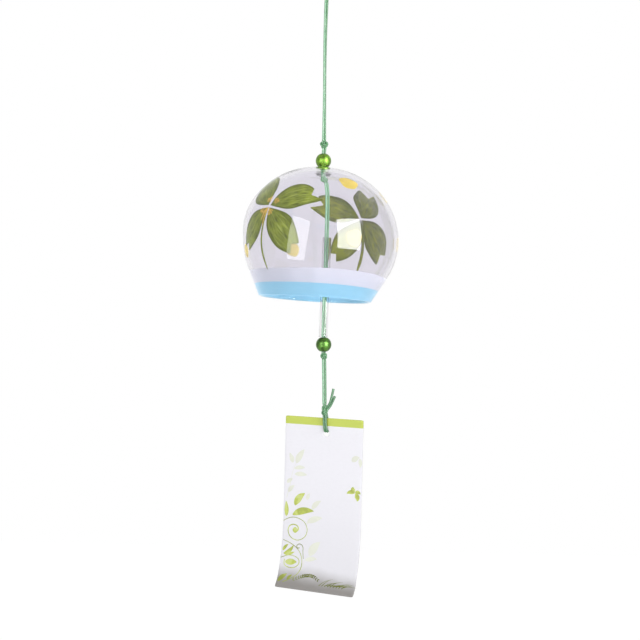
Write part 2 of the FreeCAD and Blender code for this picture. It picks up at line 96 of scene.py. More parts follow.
# How one pass of the pair runs through an overhand knot: up, across and towards the front, in shares of
# the knot's half height, half width and half depth. The second half is the first one turned over.
KNOT_RUN = [
    (0.98, 0.0, 0.9), (0.5, -0.16, 0.2), (0.0, -0.52, -1.0), (-0.5, -0.92, -0.5), (-0.88, -0.95, 0.0),
    (-1.0, -0.47, 0.5), (-0.93, 0.05, 1.0), (-0.63, 0.58, 0.5), (-0.2, 1.0, 0.0),
]


# Sizes and colours


def length(name, description, metres):
    return FloatProperty(name=name, description=description, default=metres, unit="LENGTH", precision=5)


def turn(name, description, degrees):
    return FloatProperty(name=name, description=description, default=math.radians(degrees), subtype="ANGLE")


def place(name, description, metres):
    return FloatVectorProperty(name=name, description=description, default=metres, subtype="XYZ")


def amount(name, description, number):
    return FloatProperty(name=name, description=description, default=number, min=0)


def tint(name, description, red, green, blue):
    """A colour given as it looks on screen, from 0 to 255."""
    linear = []
    for part in (red, green, blue):
        share = part / 255
        linear.append(share / 12.92 if share <= 0.04045 else ((share + 0.055) / 1.055) ** 2.4)
    return FloatVectorProperty(
        name=name, description=description, default=linear, subtype="COLOR", size=3, min=0, max=1
    )


class FurinBellSizes(bpy.types.PropertyGroup):
    width: length("Width", "The glass across its widest level", 0.080)
    crown: length("Crown height", "From the widest level up to the hole", 0.037)
    skirt: length("Skirt height", "From the widest level down to the rim", 0.030)
    flare: length("Flare start", "How far down the round part goes", 0.017)
    wall: length("Wall", "Thickness of the glass", 0.002)
    bore: length("Hole", "Radius of the hole at the top", 0.0019)
    lip: length("Hole lip", "Rounding of the hole's upper edge", 0.0008)
    collar: length("Collar", "Radius of the collar under the hole", 0.0034)
    collar_depth: length("Collar depth", "How far the collar reaches down", 0.0034)
    ease: length("Edge ease", "Rounding of the collar's foot", 0.00045)
    hole: place("Hole place", "Where the top of the hole is", (0.00055, 0.0, -0.125))
    lean: turn("Lean", "How far the bell leans to the right", 2.3)
    nod: turn("Nod", "How far the bell nods to the back", 1.8)
    wobble: length("Wobble", "How far the blown wall strays from round", 0.00012)
    fuller: length("Fuller side", "How much fuller the right side and the left shoulder are", 0.0012)
    paint: length("Paint", "Thickness of a layer of paint on the inner wall", 0.00004)
    sides: IntProperty(name="Sides", description="Facets round the glass", default=192, min=32)
    glass: tint("Glass", "Tint of the glass", 236, 234, 240)
    leaf: tint("Leaf", "Leaf paint", 152, 162, 56)
    leaf_edge: tint("Leaf edge", "Leaf paint where it is thick", 92, 102, 26)
    leaf_light: tint("Leaf light", "Pale strokes in the leaf paint", 190, 198, 120)
    gold: tint("Gold", "Golden marks at the leaf bases", 240, 196, 84)
    cream: tint("Cream dots", "The pale dots", 198, 178, 88)
    amber: tint("Amber dots", "The orange dots", 236, 210, 90)
    band: tint("White band", "The wash above the blue band", 213, 214, 224)
    sky: tint("Blue band", "The band round the mouth", 152, 207, 230)
    white_foot: length("White band foot", "Its lower edge, up the wall from the widest level", -0.0256)
    white_top: length("White band top", "Its upper edge, up the wall from the widest level", -0.0180)
    white_wave: length("White band wave", "How far its upper edge strays", 0.0008)
    blue_top: length("Blue band top", "Its upper edge, up the wall from the widest level", -0.0253)
    blue_wave: length("Blue band wave", "How far its upper edge strays", 0.0002)


class FurinCordSizes(bpy.types.PropertyGroup):
    strand: length("Strand", "Width of one strand", 0.0011)
    gap: length("Strand gap", "Room between the two strands", 0.00006)
    tail: length("Tail", "Width of the loose cut ends", 0.0013)
    knotted: length("Knotted strand", "Width of a strand pulled tight in a knot", 0.00095)
    plait: length("Plait", "Length of one plait of the strand", 0.0013)
    relief: length("Relief", "Depth of the plait", 0.00004)
    step: length("Step", "Distance between rings of the tube", 0.00016)
    sides: IntProperty(name="Sides", description="Facets round a strand", default=15, min=6)
    # The light and dark colours are painted light: a highlight on the raised threads and shade in the grooves
    light: tint("Light", "The raised threads", 206, 234, 212)
    middle: tint("Middle", "The cord's colour", 128, 190, 144)
    dark: tint("Dark", "Between the threads", 50, 110, 70)
    loop_knot: place("Loop knot", "Middle of the knot under the loop", (0.0, 0.0, -0.0335))
    upper_knot: place("Upper knot", "Middle of the knot over the bead", (0.00075, 0.0, -0.11265))
    inner_knot: place("Inner knot", "Middle of the knot under the collar", (0.0012, 0.0, -0.1301))
    lower_knot: place("Lower knot", "Middle of the knot under the lower bead", (0.0032, 0.0, -0.2215))
    tag_knot: place("Tag knot", "Middle of the knot over the paper", (0.0045, 0.0, -0.2494))


class FurinBeadSizes(bpy.types.PropertyGroup):
    width: length("Bead width", "Diameter of a bead", 0.008)
    bore: length("Bead bore", "Radius of a bead's bore", 0.0016)
    edge: length("Bead edge", "Rounding of the bore's edge", 0.00025)
    upper: place("Upper bead", "Middle of the upper bead", (0.0005, 0.0, -0.12098))
    lower: place("Lower bead", "Middle of the lower bead", (0.003, 0.0, -0.2156))
    lime: tint("Lime", "The upper bead", 114, 154, 48)
    green: tint("Green", "The lower bead", 82, 124, 48)
    tube_width: length("Clapper width", "Outside of the glass tube", 0.0045)
    tube_wall: length("Clapper wall", "Wall of the glass tube", 0.0005)
    tube_length: length("Clapper length", "Length of the glass tube", 0.0513)
    tube_edge: length("Clapper edge", "Rounding of the tube's ends", 0.0002)
    tube_foot: place("Clapper foot", "Middle of the tube's lower end", (0.0026, 0.0, -0.2117))
    tube_lean: turn("Clapper lean", "How far the tube leans", 0.84)
    tube_glass: tint("Clapper glass", "Tint of the tube", 250, 249, 250)


class FurinPaperSizes(bpy.types.PropertyGroup):
    width: length("Paper width", "Width of the strip", 0.0445)
    flat: length("Flat", "Length of the flat upper part", 0.0528)
    bow_radius: length("Bow radius", "Radius of the gentle bow", 0.099)
    bow: turn("Bow", "Turn of the gentle bow", 17)
    foot_radius: length("Foot radius", "Radius of the curl at the foot", 0.0167)
    foot: turn("Foot", "Turn of the curl at the foot", 26)
    thickness: length("Thickness", "Thickness of the paper", 0.0003)
    hole: length("Hole", "Radius of the punched hole", 0.0018)
    margin: length("Hole margin", "From the top edge to the hole's middle", 0.0077)
    offset: length("Hole offset", "How far right of the middle the hole is", 0.0015)
    play: length("Hole play", "How far the hole's middle is under the cord", 0.0007)
    aside: turn("Turn", "How far the paper is turned on its cord", 26.3)
    strip: length("Top band", "Height of the printed band", 0.0041)
    white: tint("Paper", "The paper's colour", 243, 242, 248)
    lime: tint("Band", "The printed band", 200, 213, 94)
    # Colour of the painted shade at the curled foot of the paper; it is not printed there
    wash: tint("Wash", "The printed wash at the foot", 146, 142, 138)


class FurinStageSizes(bpy.types.PropertyGroup):
    camera: place("Camera", "Where the camera stands", (0.0008, -0.6, -0.203))
    roll: turn("Roll", "Turn of the camera about its line of sight", 1.45)
    span: length("Span", "Width of the picture at the bell", 0.3299)
    floor: length("Floor", "How far the floor is under the hook", 1.15)
    aim: place("Aim", "Where the lamps point", (0, 0, -0.17))
    lamp_away: length("Lamp distance", "From the aim to a lamp", 1.15)
    glint_away: length("Glint distance", "From the aim to a lamp that is seen in reflections", 1.13)
    daylight: amount("Daylight", "Light from all round", 0.5)
    left_lamp: amount("Left soft box", "Its brightness", 1.9)
    right_lamp: amount("Right soft box", "Its brightness", 3.0)
    back_lamp: amount("Back soft box", "Its brightness", 1.6)
    left_glint: amount("Left glint", "How bright the left soft box is in reflections", 5.5)
    right_glint: amount("Right glint", "How bright the right soft box is in reflections", 17.5)


# Node trees


class Tree:
    """A node tree being built: node() adds one and sets its sockets, given by name or number."""

    def __init__(self, tree):
        self.tree = tree
        self.count = 0

    def node(self, kind, inputs=None, **settings):
        made = self.tree.nodes.new(kind)
        made.location = (self.count % 8 * 200, -(self.count // 8) * 300)
        self.count += 1
        for key, value in settings.items():
            setattr(made, key, value)
        for key, value in (inputs or {}).items():
            socket = made.inputs[key]
            if isinstance(value, bpy.types.NodeSocket):
                self.tree.links.new(value, socket)
            else:
                socket.default_value = value
        return made

    def math(self, operation, *values):
        made = self.node("ShaderNodeMath", dict(enumerate(values)), operation=operation)
        return made.outputs[0]

    def smooth(self, value, low, high, to_low=0.0, to_high=1.0):
        """A value mapped smoothly from one range to another."""
        inputs = {"Value": value, "From Min": low, "From Max": high, "To Min": to_low, "To Max": to_high}
        return self.node("ShaderNodeMapRange", inputs, interpolation_type="SMOOTHSTEP").outputs[0]

    def mix(self, share, first, second):
        """A mix of two colours."""
        made = self.node("ShaderNodeMix", {0: share}, data_type="RGBA")
        for number, value in ((6, first), (7, second)):
            if isinstance(value, bpy.types.NodeSocket):
                self.tree.links.new(value, made.inputs[number])
            else:
                made.inputs[number].default_value = (*value, 1)
        return made.outputs[2]

    def over(self, below, above, value, low, high, most=1.0):
        """One colour laid over another as a value goes from low to high."""
        return self.mix(self.smooth(value, low, high, 0, most), below, above)

    def seen(self):
        """One for rays from the camera, a reflection or through glass, else nothing."""
        rays = self.node("ShaderNodeLightPath").outputs
        either = self.math("MAXIMUM", rays["Is Camera Ray"], rays["Is Glossy Ray"])
        return self.math("MAXIMUM", either, rays["Is Transmission Ray"])


class Finish(Tree):
    """A material with one Principled shader. Constants are set on the shader's own sockets."""

    def __init__(self, name, **constants):
        self.material = bpy.data.materials.new(name)
        self.material.use_nodes = True
        self.material.node_tree.nodes.clear()
        super().__init__(self.material.node_tree)
        self.shader = self.node("ShaderNodeBsdfPrincipled")
        for socket, value in constants.items():
            self.shader.inputs[socket.replace("_", " ")].default_value = value
        self.output = self.node("ShaderNodeOutputMaterial", {"Surface": self.shader.outputs[0]})
        self.place = self.node("ShaderNodeTexCoord").outputs["Object"]

    def put(self, socket, value):
        self.tree.links.new(value, self.shader.inputs[socket])

    def grain(self, scale, detail=3.0, stretch=(1, 1, 1), where=None):
        """Noise from about 0 to 1, over the piece's own place or another one."""
        where = self.place if where is None else where
        spread = self.node("ShaderNodeMapping", {"Vector": where, "Scale": stretch})
        inputs = {"Vector": spread.outputs[0], "Scale": scale, "Detail": detail}
        return self.node("ShaderNodeTexNoise", inputs).outputs[0]

    def flat_map(self, layer):
        """The piece's own flat map, then its two parts, across and along."""
        made = self.node("ShaderNodeUVMap", uv_map=layer)
        parts = self.node("ShaderNodeSeparateXYZ", {0: made.outputs[0]})
        return made.outputs[0], parts.outputs[0], parts.outputs[1]

    def dress(self, colour, rough, relief, distance, strength=1.0):
        """Wires the colour, the roughness and a bump."""
        self.put("Base Color", colour)
        self.put("Roughness", rough)
        inputs = {"Height": relief, "Distance": distance, "Strength": strength}
        self.put("Normal", self.node("ShaderNodeBump", inputs).outputs[0])
        return self


def shade(colour, share):
    """A colour times a share, either one number or one each for red, green and blue."""
    shares = share if isinstance(share, (tuple, list)) else (share, share, share)
    return [part * times for part, times in zip(colour, shares)]


def glass_finish(name, colour, ior, roughness, ripple):
    """Clear blown glass: a faint ripple in its surface and a trace of haze."""
    finish = Finish(name, Transmission_Weight=1.0, IOR=ior)
    streak = finish.grain(60, 2, (1, 1, 0.45))
    haze = finish.smooth(finish.grain(900, 2), 0.3, 0.8, roughness * 0.4, roughness)
    tinted = finish.over(shade(colour, 0.985), colour, streak, 0.3, 0.7)
    return finish.dress(tinted, haze, streak, ripple, 0.6)


def leaf_finish(name, sizes, tone, depth):
    """Brushed leaf paint: strokes along the leaf, a pale midrib, and thick paint at the edge. tone is
    this plant's share of red, green and blue, and depth how dark its dark patches are."""
    finish = Finish(name, Specular_IOR_Level=0.1)
    leaf, thick, light = (shade(paint, tone) for paint in (sizes.leaf, sizes.leaf_edge, sizes.leaf_light))
    flat_place, along, across = finish.flat_map("leaf")
    aside = finish.math("ABSOLUTE", finish.math("SUBTRACT", across, 0.5))
    strokes = finish.grain(3.5, 4, (1.3, 8, 1), flat_place)
    base = finish.over(shade(leaf, depth), leaf, finish.grain(190), 0.38, 0.62)
    pale = finish.over(base, light, strokes, 0.5, 0.66, 0.7)
    dark = finish.over(pale, thick, strokes, 0.5, 0.36, 0.85)
    edged = finish.over(dark, thick, aside, 0.33, 0.49, 0.75)
    based = finish.over(edged, thick, along, 0.28, 0.0, 0.55)
    rib = finish.math("MULTIPLY", finish.smooth(aside, 0.03, 0.0), finish.smooth(along, 0.95, 0.5, 0, 0.5))
    rough = finish.smooth(strokes, 0.3, 0.7, 0.4, 0.6)
    return finish.dress(finish.mix(rib, based, light), rough, strokes, 0.00005)


def paint_finish(name, colour, spread):
    """Flat brushed paint on the inside of the glass, a little uneven."""
    finish = Finish(name, Specular_IOR_Level=0.1)
    strokes = finish.grain(420, 3, (0.4, 0.4, 3))
    thin = finish.over(shade(colour, 1 - spread), colour, finish.grain(110, 4, (1, 1, 2.5)), 0.3, 0.7)
    light = [part + (1 - part) * spread for part in colour]
    uneven = finish.over(thin, light, strokes, 0.5, 0.75, 0.8)
    return finish.dress(uneven, finish.smooth(strokes, 0.3, 0.7, 0.6, 0.8), strokes, 0.00004)


def bead_finish(name, colour):
    """A pearl bead: metal flakes under a clear coat, in darker and lighter clouds."""
    finish = Finish(name, Metallic=0.7, Coat_Weight=0.15, Coat_Roughness=0.1, Coat_IOR=1.35, IOR=1.4)
    cells = finish.node("ShaderNodeTexVoronoi", {"Vector": finish.place, "Scale": 5200.0})
    flakes = cells.outputs["Distance"]
    cloud = finish.grain(620)
    base = finish.over(shade(colour, 0.5), colour, cloud, 0.42, 0.6)
    bright = [min(1, 1.5 * part) for part in colour]
    glint = finish.over(base, bright, flakes, 0.35, 0.05, 0.35)
    return finish.dress(glint, finish.smooth(cloud, 0.3, 0.7, 0.34, 0.46), flakes, 0.00002, 0.5)


def cord_finish(name, cord, tone=(1, 1, 1), sheen=0.35):
    """Satin plaited cord: a painted highlight on its raised threads and painted shade in the grooves between
    them.
    tone is this stretch's share of red, green and blue; a tone below one makes a painted-shade copy of the
    cord."""
    finish = Finish(name, Sheen_Weight=sheen, Sheen_Roughness=0.4, Specular_IOR_Level=0.5)
    raised = finish.node("ShaderNodeAttribute", attribute_name="plait").outputs["Fac"]
    thread = finish.grain(5200, 2)
    light, middle, dark = (shade(colour, tone) for colour in (cord.light, cord.middle, cord.dark))
    # Painted highlight on the raised threads of the plait and painted shade in its grooves
    low = finish.over(dark, middle, raised, 0.05, 0.45)
    high = finish.over(low, light, raised, 0.5, 1.0, 0.75)
    faded = finish.over(high, light, finish.grain(170, 2), 0.45, 0.75, 0.25)
    grooved = finish.over(faded, dark, thread, 0.55, 0.3, 0.35)
    return finish.dress(grooved, finish.smooth(thread, 0.3, 0.7, 0.38, 0.55), thread, 0.00004, 0.5)


def paper_finish(name, paper):
    """Printed card: a lime band at the top and faint fibres, with painted shade down its length and at its
    foot.
    """
    finish = Finish(name, Specular_IOR_Level=0.25)
    flat_place, across, down = finish.flat_map("sheet")
    whole = paper_length(paper)
    fibres = finish.grain(900, 5, (0.5, 1, 1), flat_place)
    white = finish.over(paper.white, shade(paper.white, 0.93), fibres, 0.6, 0.3, 0.25)
    # Painted shade: the card darkens down its length, and a grey painted shade comes in at the curled foot
    shaded = finish.over(white, shade(paper.white, 0.82), down, 0.02, whole, 0.5)
    # along a ragged, sloped line
    ragged = finish.math("MULTIPLY_ADD", finish.grain(60, where=flat_place), 0.006, down)
    foot_shade_edge = finish.math("MULTIPLY_ADD", across, -0.05, ragged)
    foot_shaded = finish.over(shaded, paper.wash, foot_shade_edge, whole - 0.0105, whole + 0.001, 0.95)
    banded = finish.mix(finish.math("LESS_THAN", down, paper.strip), foot_shaded, paper.lime)
    rough = finish.smooth(fibres, 0.3, 0.7, 0.5, 0.62)
    return finish.dress(banded, rough, finish.grain(2600, 4), 0.00002, 0.6)


def ink_finish(name, colour, paper, spread=0.3):
    """Printed ink, a little uneven, darkened at the foot by painted shade, as the card is."""
    finish = Finish(name, Specular_IOR_Level=0.3)
    down = finish.flat_map("sheet")[2]
    whole = paper_length(paper)
    fibres = finish.grain(1500, 4)
    cloud = finish.grain(230)
    ink = finish.over(colour, shade(colour, 1 - spread), cloud, 0.4, 0.62)
    faded = finish.over(ink, paper.white, cloud, 0.5, 0.36, spread / 2)
    rubbed = finish.over(faded, paper.white, fibres, 0.62, 0.8, 0.3)
    # Painted shade: the ink turns darker at the curled foot of the card
    foot_shaded_ink = finish.over(rubbed, shade(colour, 0.35), down, whole - 0.012, whole - 0.004, 0.6)
    return finish.dress(foot_shaded_ink, finish.smooth(fibres, 0.3, 0.7, 0.45, 0.6), fibres, 0.00001, 0.5)


# Mesh making


def new_object(name, data):
    made = bpy.data.objects.new(name, data)
    bpy.context.scene.collection.objects.link(made)
    return made


def new_piece(name, mesh, body, finish, node=None):
    """A finished piece of the object: it rides on its body, takes the given finish and can stand for a solid
    of the CAD part."""
    piece = new_object(name, mesh)
    mesh.materials.clear()
    mesh.materials.append(finish.material)
    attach(piece, body)
    if node is not None:
        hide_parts(node)
    return piece


def close_mesh(name, maker, smooth=True, outward=True):
    """A mesh from a bmesh that maker fills. Doubles are merged, and the faces turned outwards if asked."""
    made = bmesh.new()
    maker(made)
    bmesh.ops.remove_doubles(made, verts=made.verts, dist=1e-7)
    if outward:
        bmesh.ops.recalc_face_normals(made, faces=made.faces)
    mesh = bpy.data.meshes.new(name)
    made.to_mesh(mesh)
    made.free()
    for face in mesh.polygons:
        face.use_smooth = smooth
    return mesh


def bridge(made, rows, wrap_rows=False, wrap_columns=False):
    """Faces between rows of vertices. Returns them with their row and column."""
    faces = []
    last_row = len(rows) if wrap_rows else len(rows) - 1
    for row in range(last_row):
        upper = rows[row]
        lower = rows[(row + 1) % len(rows)]
        last_column = len(upper) if wrap_columns else len(upper) - 1
        for column in range(last_column):
            beside = (column + 1) % len(upper)
            corners = (upper[column], upper[beside], lower[beside], lower[column])
            faces.append((made.faces.new(corners), row, column))
    return faces


def lattice(made, layer, rows, closed=False, flip=False):
    """Faces between rows of vertices, with a flat map that goes from 0 to 1 along and across the rows."""
    along = len(rows) - 1
    across = len(rows[0]) if closed else len(rows[0]) - 1
    for face, row, number in bridge(made, rows, wrap_columns=closed):
        for loop, (step, side) in zip(face.loops, ((0, 0), (0, 1), (1, 1), (1, 0))):
            spot = ((row + step) / along, (number + side) / across)
            loop[layer].uv = spot[::-1] if flip else spot


def ring(made, sides, spot):
    """Vertices all round, where spot gives the place at an angle."""
    return [made.verts.new(spot(math.tau * number / sides)) for number in range(sides)]


def around(matrix, radius, up, angle):
    """A point at this angle from the front towards the right, in the frame of this matrix."""
    return matrix @ Vector((radius * math.sin(angle), -radius * math.cos(angle), up))


def turned_mesh(name, profile, sides, spot):
    """A closed section turned round its axis. spot gives the place of a radius, a height and an angle."""

    def fill(made):
        rows = [ring(made, sides, lambda angle: spot(radius, up, angle)) for radius, up in profile]
        bridge(made, rows, wrap_rows=True, wrap_columns=True)

    return close_mesh(name, fill)


def arc_points(across, up, radius, start, end, count):
    """Points on an arc, angles in degrees from the outward direction."""
    points = []
    for number in range(count + 1):
        angle = math.radians(start + (end - start) * number / count)
        points.append((across + radius * math.cos(angle), up + radius * math.sin(angle)))
    return points


def line_points(start, end, count):
    """Points on a line, both ends left out."""
    points = []
    for number in range(1, count):
        share = number / count
        points.append((start[0] + (end[0] - start[0]) * share, start[1] + (end[1] - start[1]) * share))
    return points


# The glass bell and its painting


class BellShape:
    """The bell's section and where a point of its inner wall is."""

    def __init__(self, sizes):
        self.sizes = sizes
        self.middle = sizes.width / 2 - sizes.crown
        self.inner = sizes.crown - sizes.wall
        self.flare = math.asin(sizes.flare / sizes.crown)
        self.knee = -self.inner * self.flare
        self.skirt_run = (sizes.skirt - sizes.flare) / math.cos(self.flare)
        slope = (math.sin(self.flare), math.cos(self.flare))
        rim_across = self.middle + sizes.crown * slope[1] - slope[0] * self.skirt_run
        rim_up = -sizes.crown * slope[0] - slope[1] * self.skirt_run
        self.lip_middle = (rim_across - sizes.wall / 2 * slope[1], rim_up + sizes.wall / 2 * slope[0])
        lean = Matrix.Rotation(sizes.lean, 4, "Y") @ Matrix.Rotation(-sizes.nod, 4, "X")
        top = Vector((0, 0, sizes.crown))
        self.matrix = Matrix.Translation(Vector(sizes.hole) - lean @ top) @ lean

    def stray(self, angle, up):
        """How far the wall strays outwards: it is blown and turned by hand."""
        reach = up / self.sizes.crown if up > 0 else -up / self.sizes.skirt
        belly = max(0.0, 1 - reach**2)
        calm = max(0.0, 1 - reach**4) if up > 0 else 1.0
        wave = math.sin(2 * angle + 0.7) + 0.6 * math.sin(3 * angle - up * 60)
        shoulder_up = 0.4
        shoulder_reach = 0.5
        off_shoulder = (up / self.sizes.crown - shoulder_up) / shoulder_reach
        shoulder = max(0.0, 1 - off_shoulder**2) ** 2
        side = math.sin(angle)
        blown = belly * side + shoulder * max(0.0, -side)
        return self.sizes.wobble * calm * wave + self.sizes.fuller * blown

    def point(self, radius, up, angle):
        """A point at this angle from the front towards the right."""
        return around(self.matrix, radius + self.stray(angle, up), up, angle)

    def inner_section(self, run, lift):
        """The inner wall's point this far up along it from the widest level. A lift goes inwards from the
        wall, and a negative one into the glass."""
        reach = self.inner - lift
        if run >= self.knee:
            angle = run / self.inner
            return self.middle + reach * math.cos(angle), reach * math.sin(angle)
        down = self.knee - run
        across = self.middle + reach * math.cos(self.flare) - down * math.sin(self.flare)
        return across, -reach * math.sin(self.flare) - down * math.cos(self.flare)

    def on_wall(self, angle, run, lift):
        radius, up = self.inner_section(run, lift)
        return self.point(radius, up, angle)

    def beside(self, angle, run, across, along, lift):
        """A point near another one on the wall: across to the right of it and along the wall above it."""
        radius, _ = self.inner_section(run + along, 0)
        return self.on_wall(angle + across / radius, run + along, lift)

    def profile(self):
        """The closed section: outside down, round the rim, up the inside and round the collar."""
        s = self.sizes
        flare = math.degrees(self.flare)
        least_land = 0.0002
        collar_drop = 0.0007
        collar_clearance = 1.2
        edge = max(self.middle, s.bore + s.lip + least_land)
        top = math.sqrt(s.crown**2 - (edge - self.middle) ** 2)
        foot = top - s.collar_depth
        ceiling = math.sqrt(self.inner**2 - (s.collar - self.middle) ** 2)
        collar_top = (s.collar, ceiling - collar_drop)
        dome_end = math.degrees(math.atan2(top, edge - self.middle))
        ceiling_end = math.degrees(math.atan2(ceiling, s.collar - self.middle)) - collar_clearance
        points = arc_points(self.middle, 0, s.crown, dome_end, -flare, 72)
        lip = arc_points(*self.lip_middle, s.wall / 2, -flare, -180 - flare, 12)
        points += line_points(points[-1], lip[0], 12) + lip
        inner_knee = arc_points(self.middle, 0, self.inner, -flare, -flare, 1)[0]
        points += line_points(points[-1], inner_knee, 12)
        points += arc_points(self.middle, 0, self.inner, -flare, ceiling_end, 70)
        points += line_points(points[-1], collar_top, 3) + [collar_top]
        points += arc_points(s.collar - s.ease, foot + s.ease, s.ease, 0, -90, 5)
        points += arc_points(s.bore + s.ease, foot + s.ease, s.ease, -90, -180, 5)
        points += line_points(points[-1], (s.bore, top - s.lip), 4)
        points += arc_points(s.bore + s.lip, top - s.lip, s.lip, 180, 90, 6)
        return points


def wall_places(places):
    """Places on the wall with their angles turned from degrees into radians."""
    return [(math.radians(angle), run) for angle, run in places]


def leaf_width(along, end):
    """Half width of a leaf at this share of its length: pointed base, fullest past its middle."""
    fullest = 0.56
    base_curve = 1.1
    tip_curve = 2.1
    if along < fullest:
        return (1 - (1 - along / fullest) ** 2) ** base_curve
    return 1 - (1 - end) * ((along - fullest) / (1 - fullest)) ** tip_curve


def wall_leaf(made, shape, layer, centre, leaf, lift):
    """One leaf on the wall, with a notch between its two tips. leaf is its direction, length, width,
    the share of its width at the tips, the notch, how far it bends and how much longer its left tip is."""
    direction, long, wide, end, notch, bend, skew = leaf
    columns = 30
    halves = 10
    stalk = 0.035
    raggedness = 0.035
    rows = []
    for column in range(columns + 1):
        share = column / columns
        turned = math.radians(direction) + bend * share * share
        row = []
        for number in range(-halves, halves + 1):
            aside = number / halves
            valley = notch * max(0.0, 1 - abs(aside) * 1.15) * share**6
            reach = long * (stalk + (1 - stalk) * share) - valley + skew * aside * share**4
            ragged = 1 + raggedness * math.sin(9 * share + 5 * aside + long * 4000)
            out = wide / 2 * leaf_width(share, end) * aside * ragged
            across = reach * math.cos(turned) - out * math.sin(turned)
            along = reach * math.sin(turned) + out * math.cos(turned)
            row.append(made.verts.new(shape.beside(*centre, across, along, lift)))
        rows.append(row)
    lattice(made, layer, rows)


def wall_stroke(made, shape, layer, path, wide, lift):
    """A brushed stroke along points of the wall, each an angle and a run. wide is its width at each end."""
    rows = []
    count = len(path) - 1
    for number, (angle, run) in enumerate(path):
        before = path[max(0, number - 1)]
        after = path[min(count, number + 1)]
        radius, _ = shape.inner_section(run, 0)
        step = Vector(((after[0] - before[0]) * radius, after[1] - before[1])).normalized()
        half = (wide[0] + (wide[1] - wide[0]) * number / count) / 2
        half *= min(1.0, 0.35 + 4 * min(number, count - number) / count)
        row = []
        for side in (-1, -0.5, 0, 0.5, 1):
            out = half * side
            row.append(made.verts.new(shape.beside(angle, run, -step.y * out, step.x * out, lift)))
        rows.append(row)
    lattice(made, layer, rows)


def smooth_path(points, count):
    """Places along the smooth line that NURBS control points give, each point a pair."""
    line = nurbs_line([(across, along, 0) for across, along in points])
    places = []
    for number in range(count + 1):
        place_on = number * (len(line) - 1) / count
        low = min(int(place_on), len(line) - 2)
        spot = line[low].lerp(line[low + 1], place_on - low)
        places.append((spot.x, spot.y))
    return places


def wall_dot(made, shape, layer, centre, radius, stretch, lift):
    """A round dab of paint, a little uneven."""
    sides = 40
    count = 6
    rows = []
    for number in range(count + 1):
        reach = radius * number / count

        def spot(turned):
            ragged = 1 + 0.05 * math.sin(3 * turned + centre[1] * 900) + 0.03 * math.sin(5 * turned + 1)
            across = reach * ragged * math.cos(turned) * stretch
            return shape.beside(*centre, across, reach * ragged * math.sin(turned), lift)

        rows.append(ring(made, sides, spot))
    lattice(made, layer, rows, closed=True)


def thicken(skin, thickness):
    """Gives a thin skin its thickness on both sides, and keeps the shading of its faces even."""
    thick = skin.modifiers.new("thickness", "SOLIDIFY")
    thick.thickness = thickness
    thick.offset = 0
    if skin.data.polygons[0].use_smooth:
        even = skin.modifiers.new("shading", "WEIGHTED_NORMAL")
        even.weight = 100


def wall_skin(name, sizes, maker, finish):
    """Paint on the inside of the glass, as one thin skin with its own flat map."""

    def fill(made):
        maker(made, made.loops.layers.uv.new("leaf"))

    skin = new_piece(name, close_mesh(name, fill, outward=False), "bell", finish)
    thicken(skin, sizes.paint)
    return skin


def wall_band(made, shape, layer, low, high, wave, lift, foot=()):
    """A band right round the wall between two runs, its upper edge a little wavy. foot are more points
    of its section under it, each a radius and a height."""
    sides = shape.sizes.sides
    steps = 8
    rows = [ring(made, sides, lambda angle: shape.point(radius, up, angle)) for radius, up in foot]
    for step in range(steps + 1):

        def spot(angle):
            top = high + wave * (math.sin(angle + 1.1) + 0.4 * math.sin(3 * angle + 0.4))
            return shape.on_wall(angle, low + (top - low) * step / steps, lift)

        rows.append(ring(made, sides, spot))
    lattice(made, layer, rows, closed=True, flip=True)


# The cord


def nurbs_line(points):
    """Points read from the smooth line that these control points give."""
    curve = bpy.data.curves.new("route", "CURVE")
    curve.dimensions = "3D"
    curve.resolution_u = 16
    spline = curve.splines.new("NURBS")
    spline.points.add(len(points) - 1)
    for knot, point in zip(spline.points, points):
        knot.co = (*point, 1)
    spline.order_u = 3
    spline.use_endpoint_u = True
    holder = new_object("route", curve)
    line = bpy.data.meshes.new_from_object(holder)
    found = [vertex.co.copy() for vertex in line.vertices]
    bpy.data.objects.remove(holder)
    bpy.data.curves.remove(curve)
    bpy.data.meshes.remove(line)
    return found


def new_tree(name, inputs, output):
    """A geometry tree with these named inputs. Returns it and the sockets that its inputs come from."""
    tree = Tree(bpy.data.node_groups.new(name, "GeometryNodeTree"))
    sockets = tree.tree.interface
    for label, kind in inputs.items():
        sockets.new_socket(label, in_out="INPUT", socket_type=f"NodeSocket{kind}")
    sockets.new_socket(output, in_out="OUTPUT", socket_type="NodeSocketGeometry")
    return tree, tree.node("NodeGroupInput").outputs


def end_tree(tree, shape, finish):
    """Ends a geometry tree: real faces, with their finish set."""
    real = tree.node("GeometryNodeRealizeInstances", {"Geometry": shape})
    done = tree.node("GeometryNodeSetMaterial", {"Geometry": real.outputs[0], "Material": finish})
    tree.node("NodeGroupOutput", {0: done.outputs[0]})
    return tree.tree


def captured(tree, curve, label, value):
    """A curve that remembers a value at each of its points, and the value."""
    held = tree.node("GeometryNodeCaptureAttribute", {0: curve}, domain="POINT")
    held.capture_items.new("FLOAT", label)
    tree.tree.links.new(value, held.inputs[label])
    return held.outputs[0], held.outputs[label]


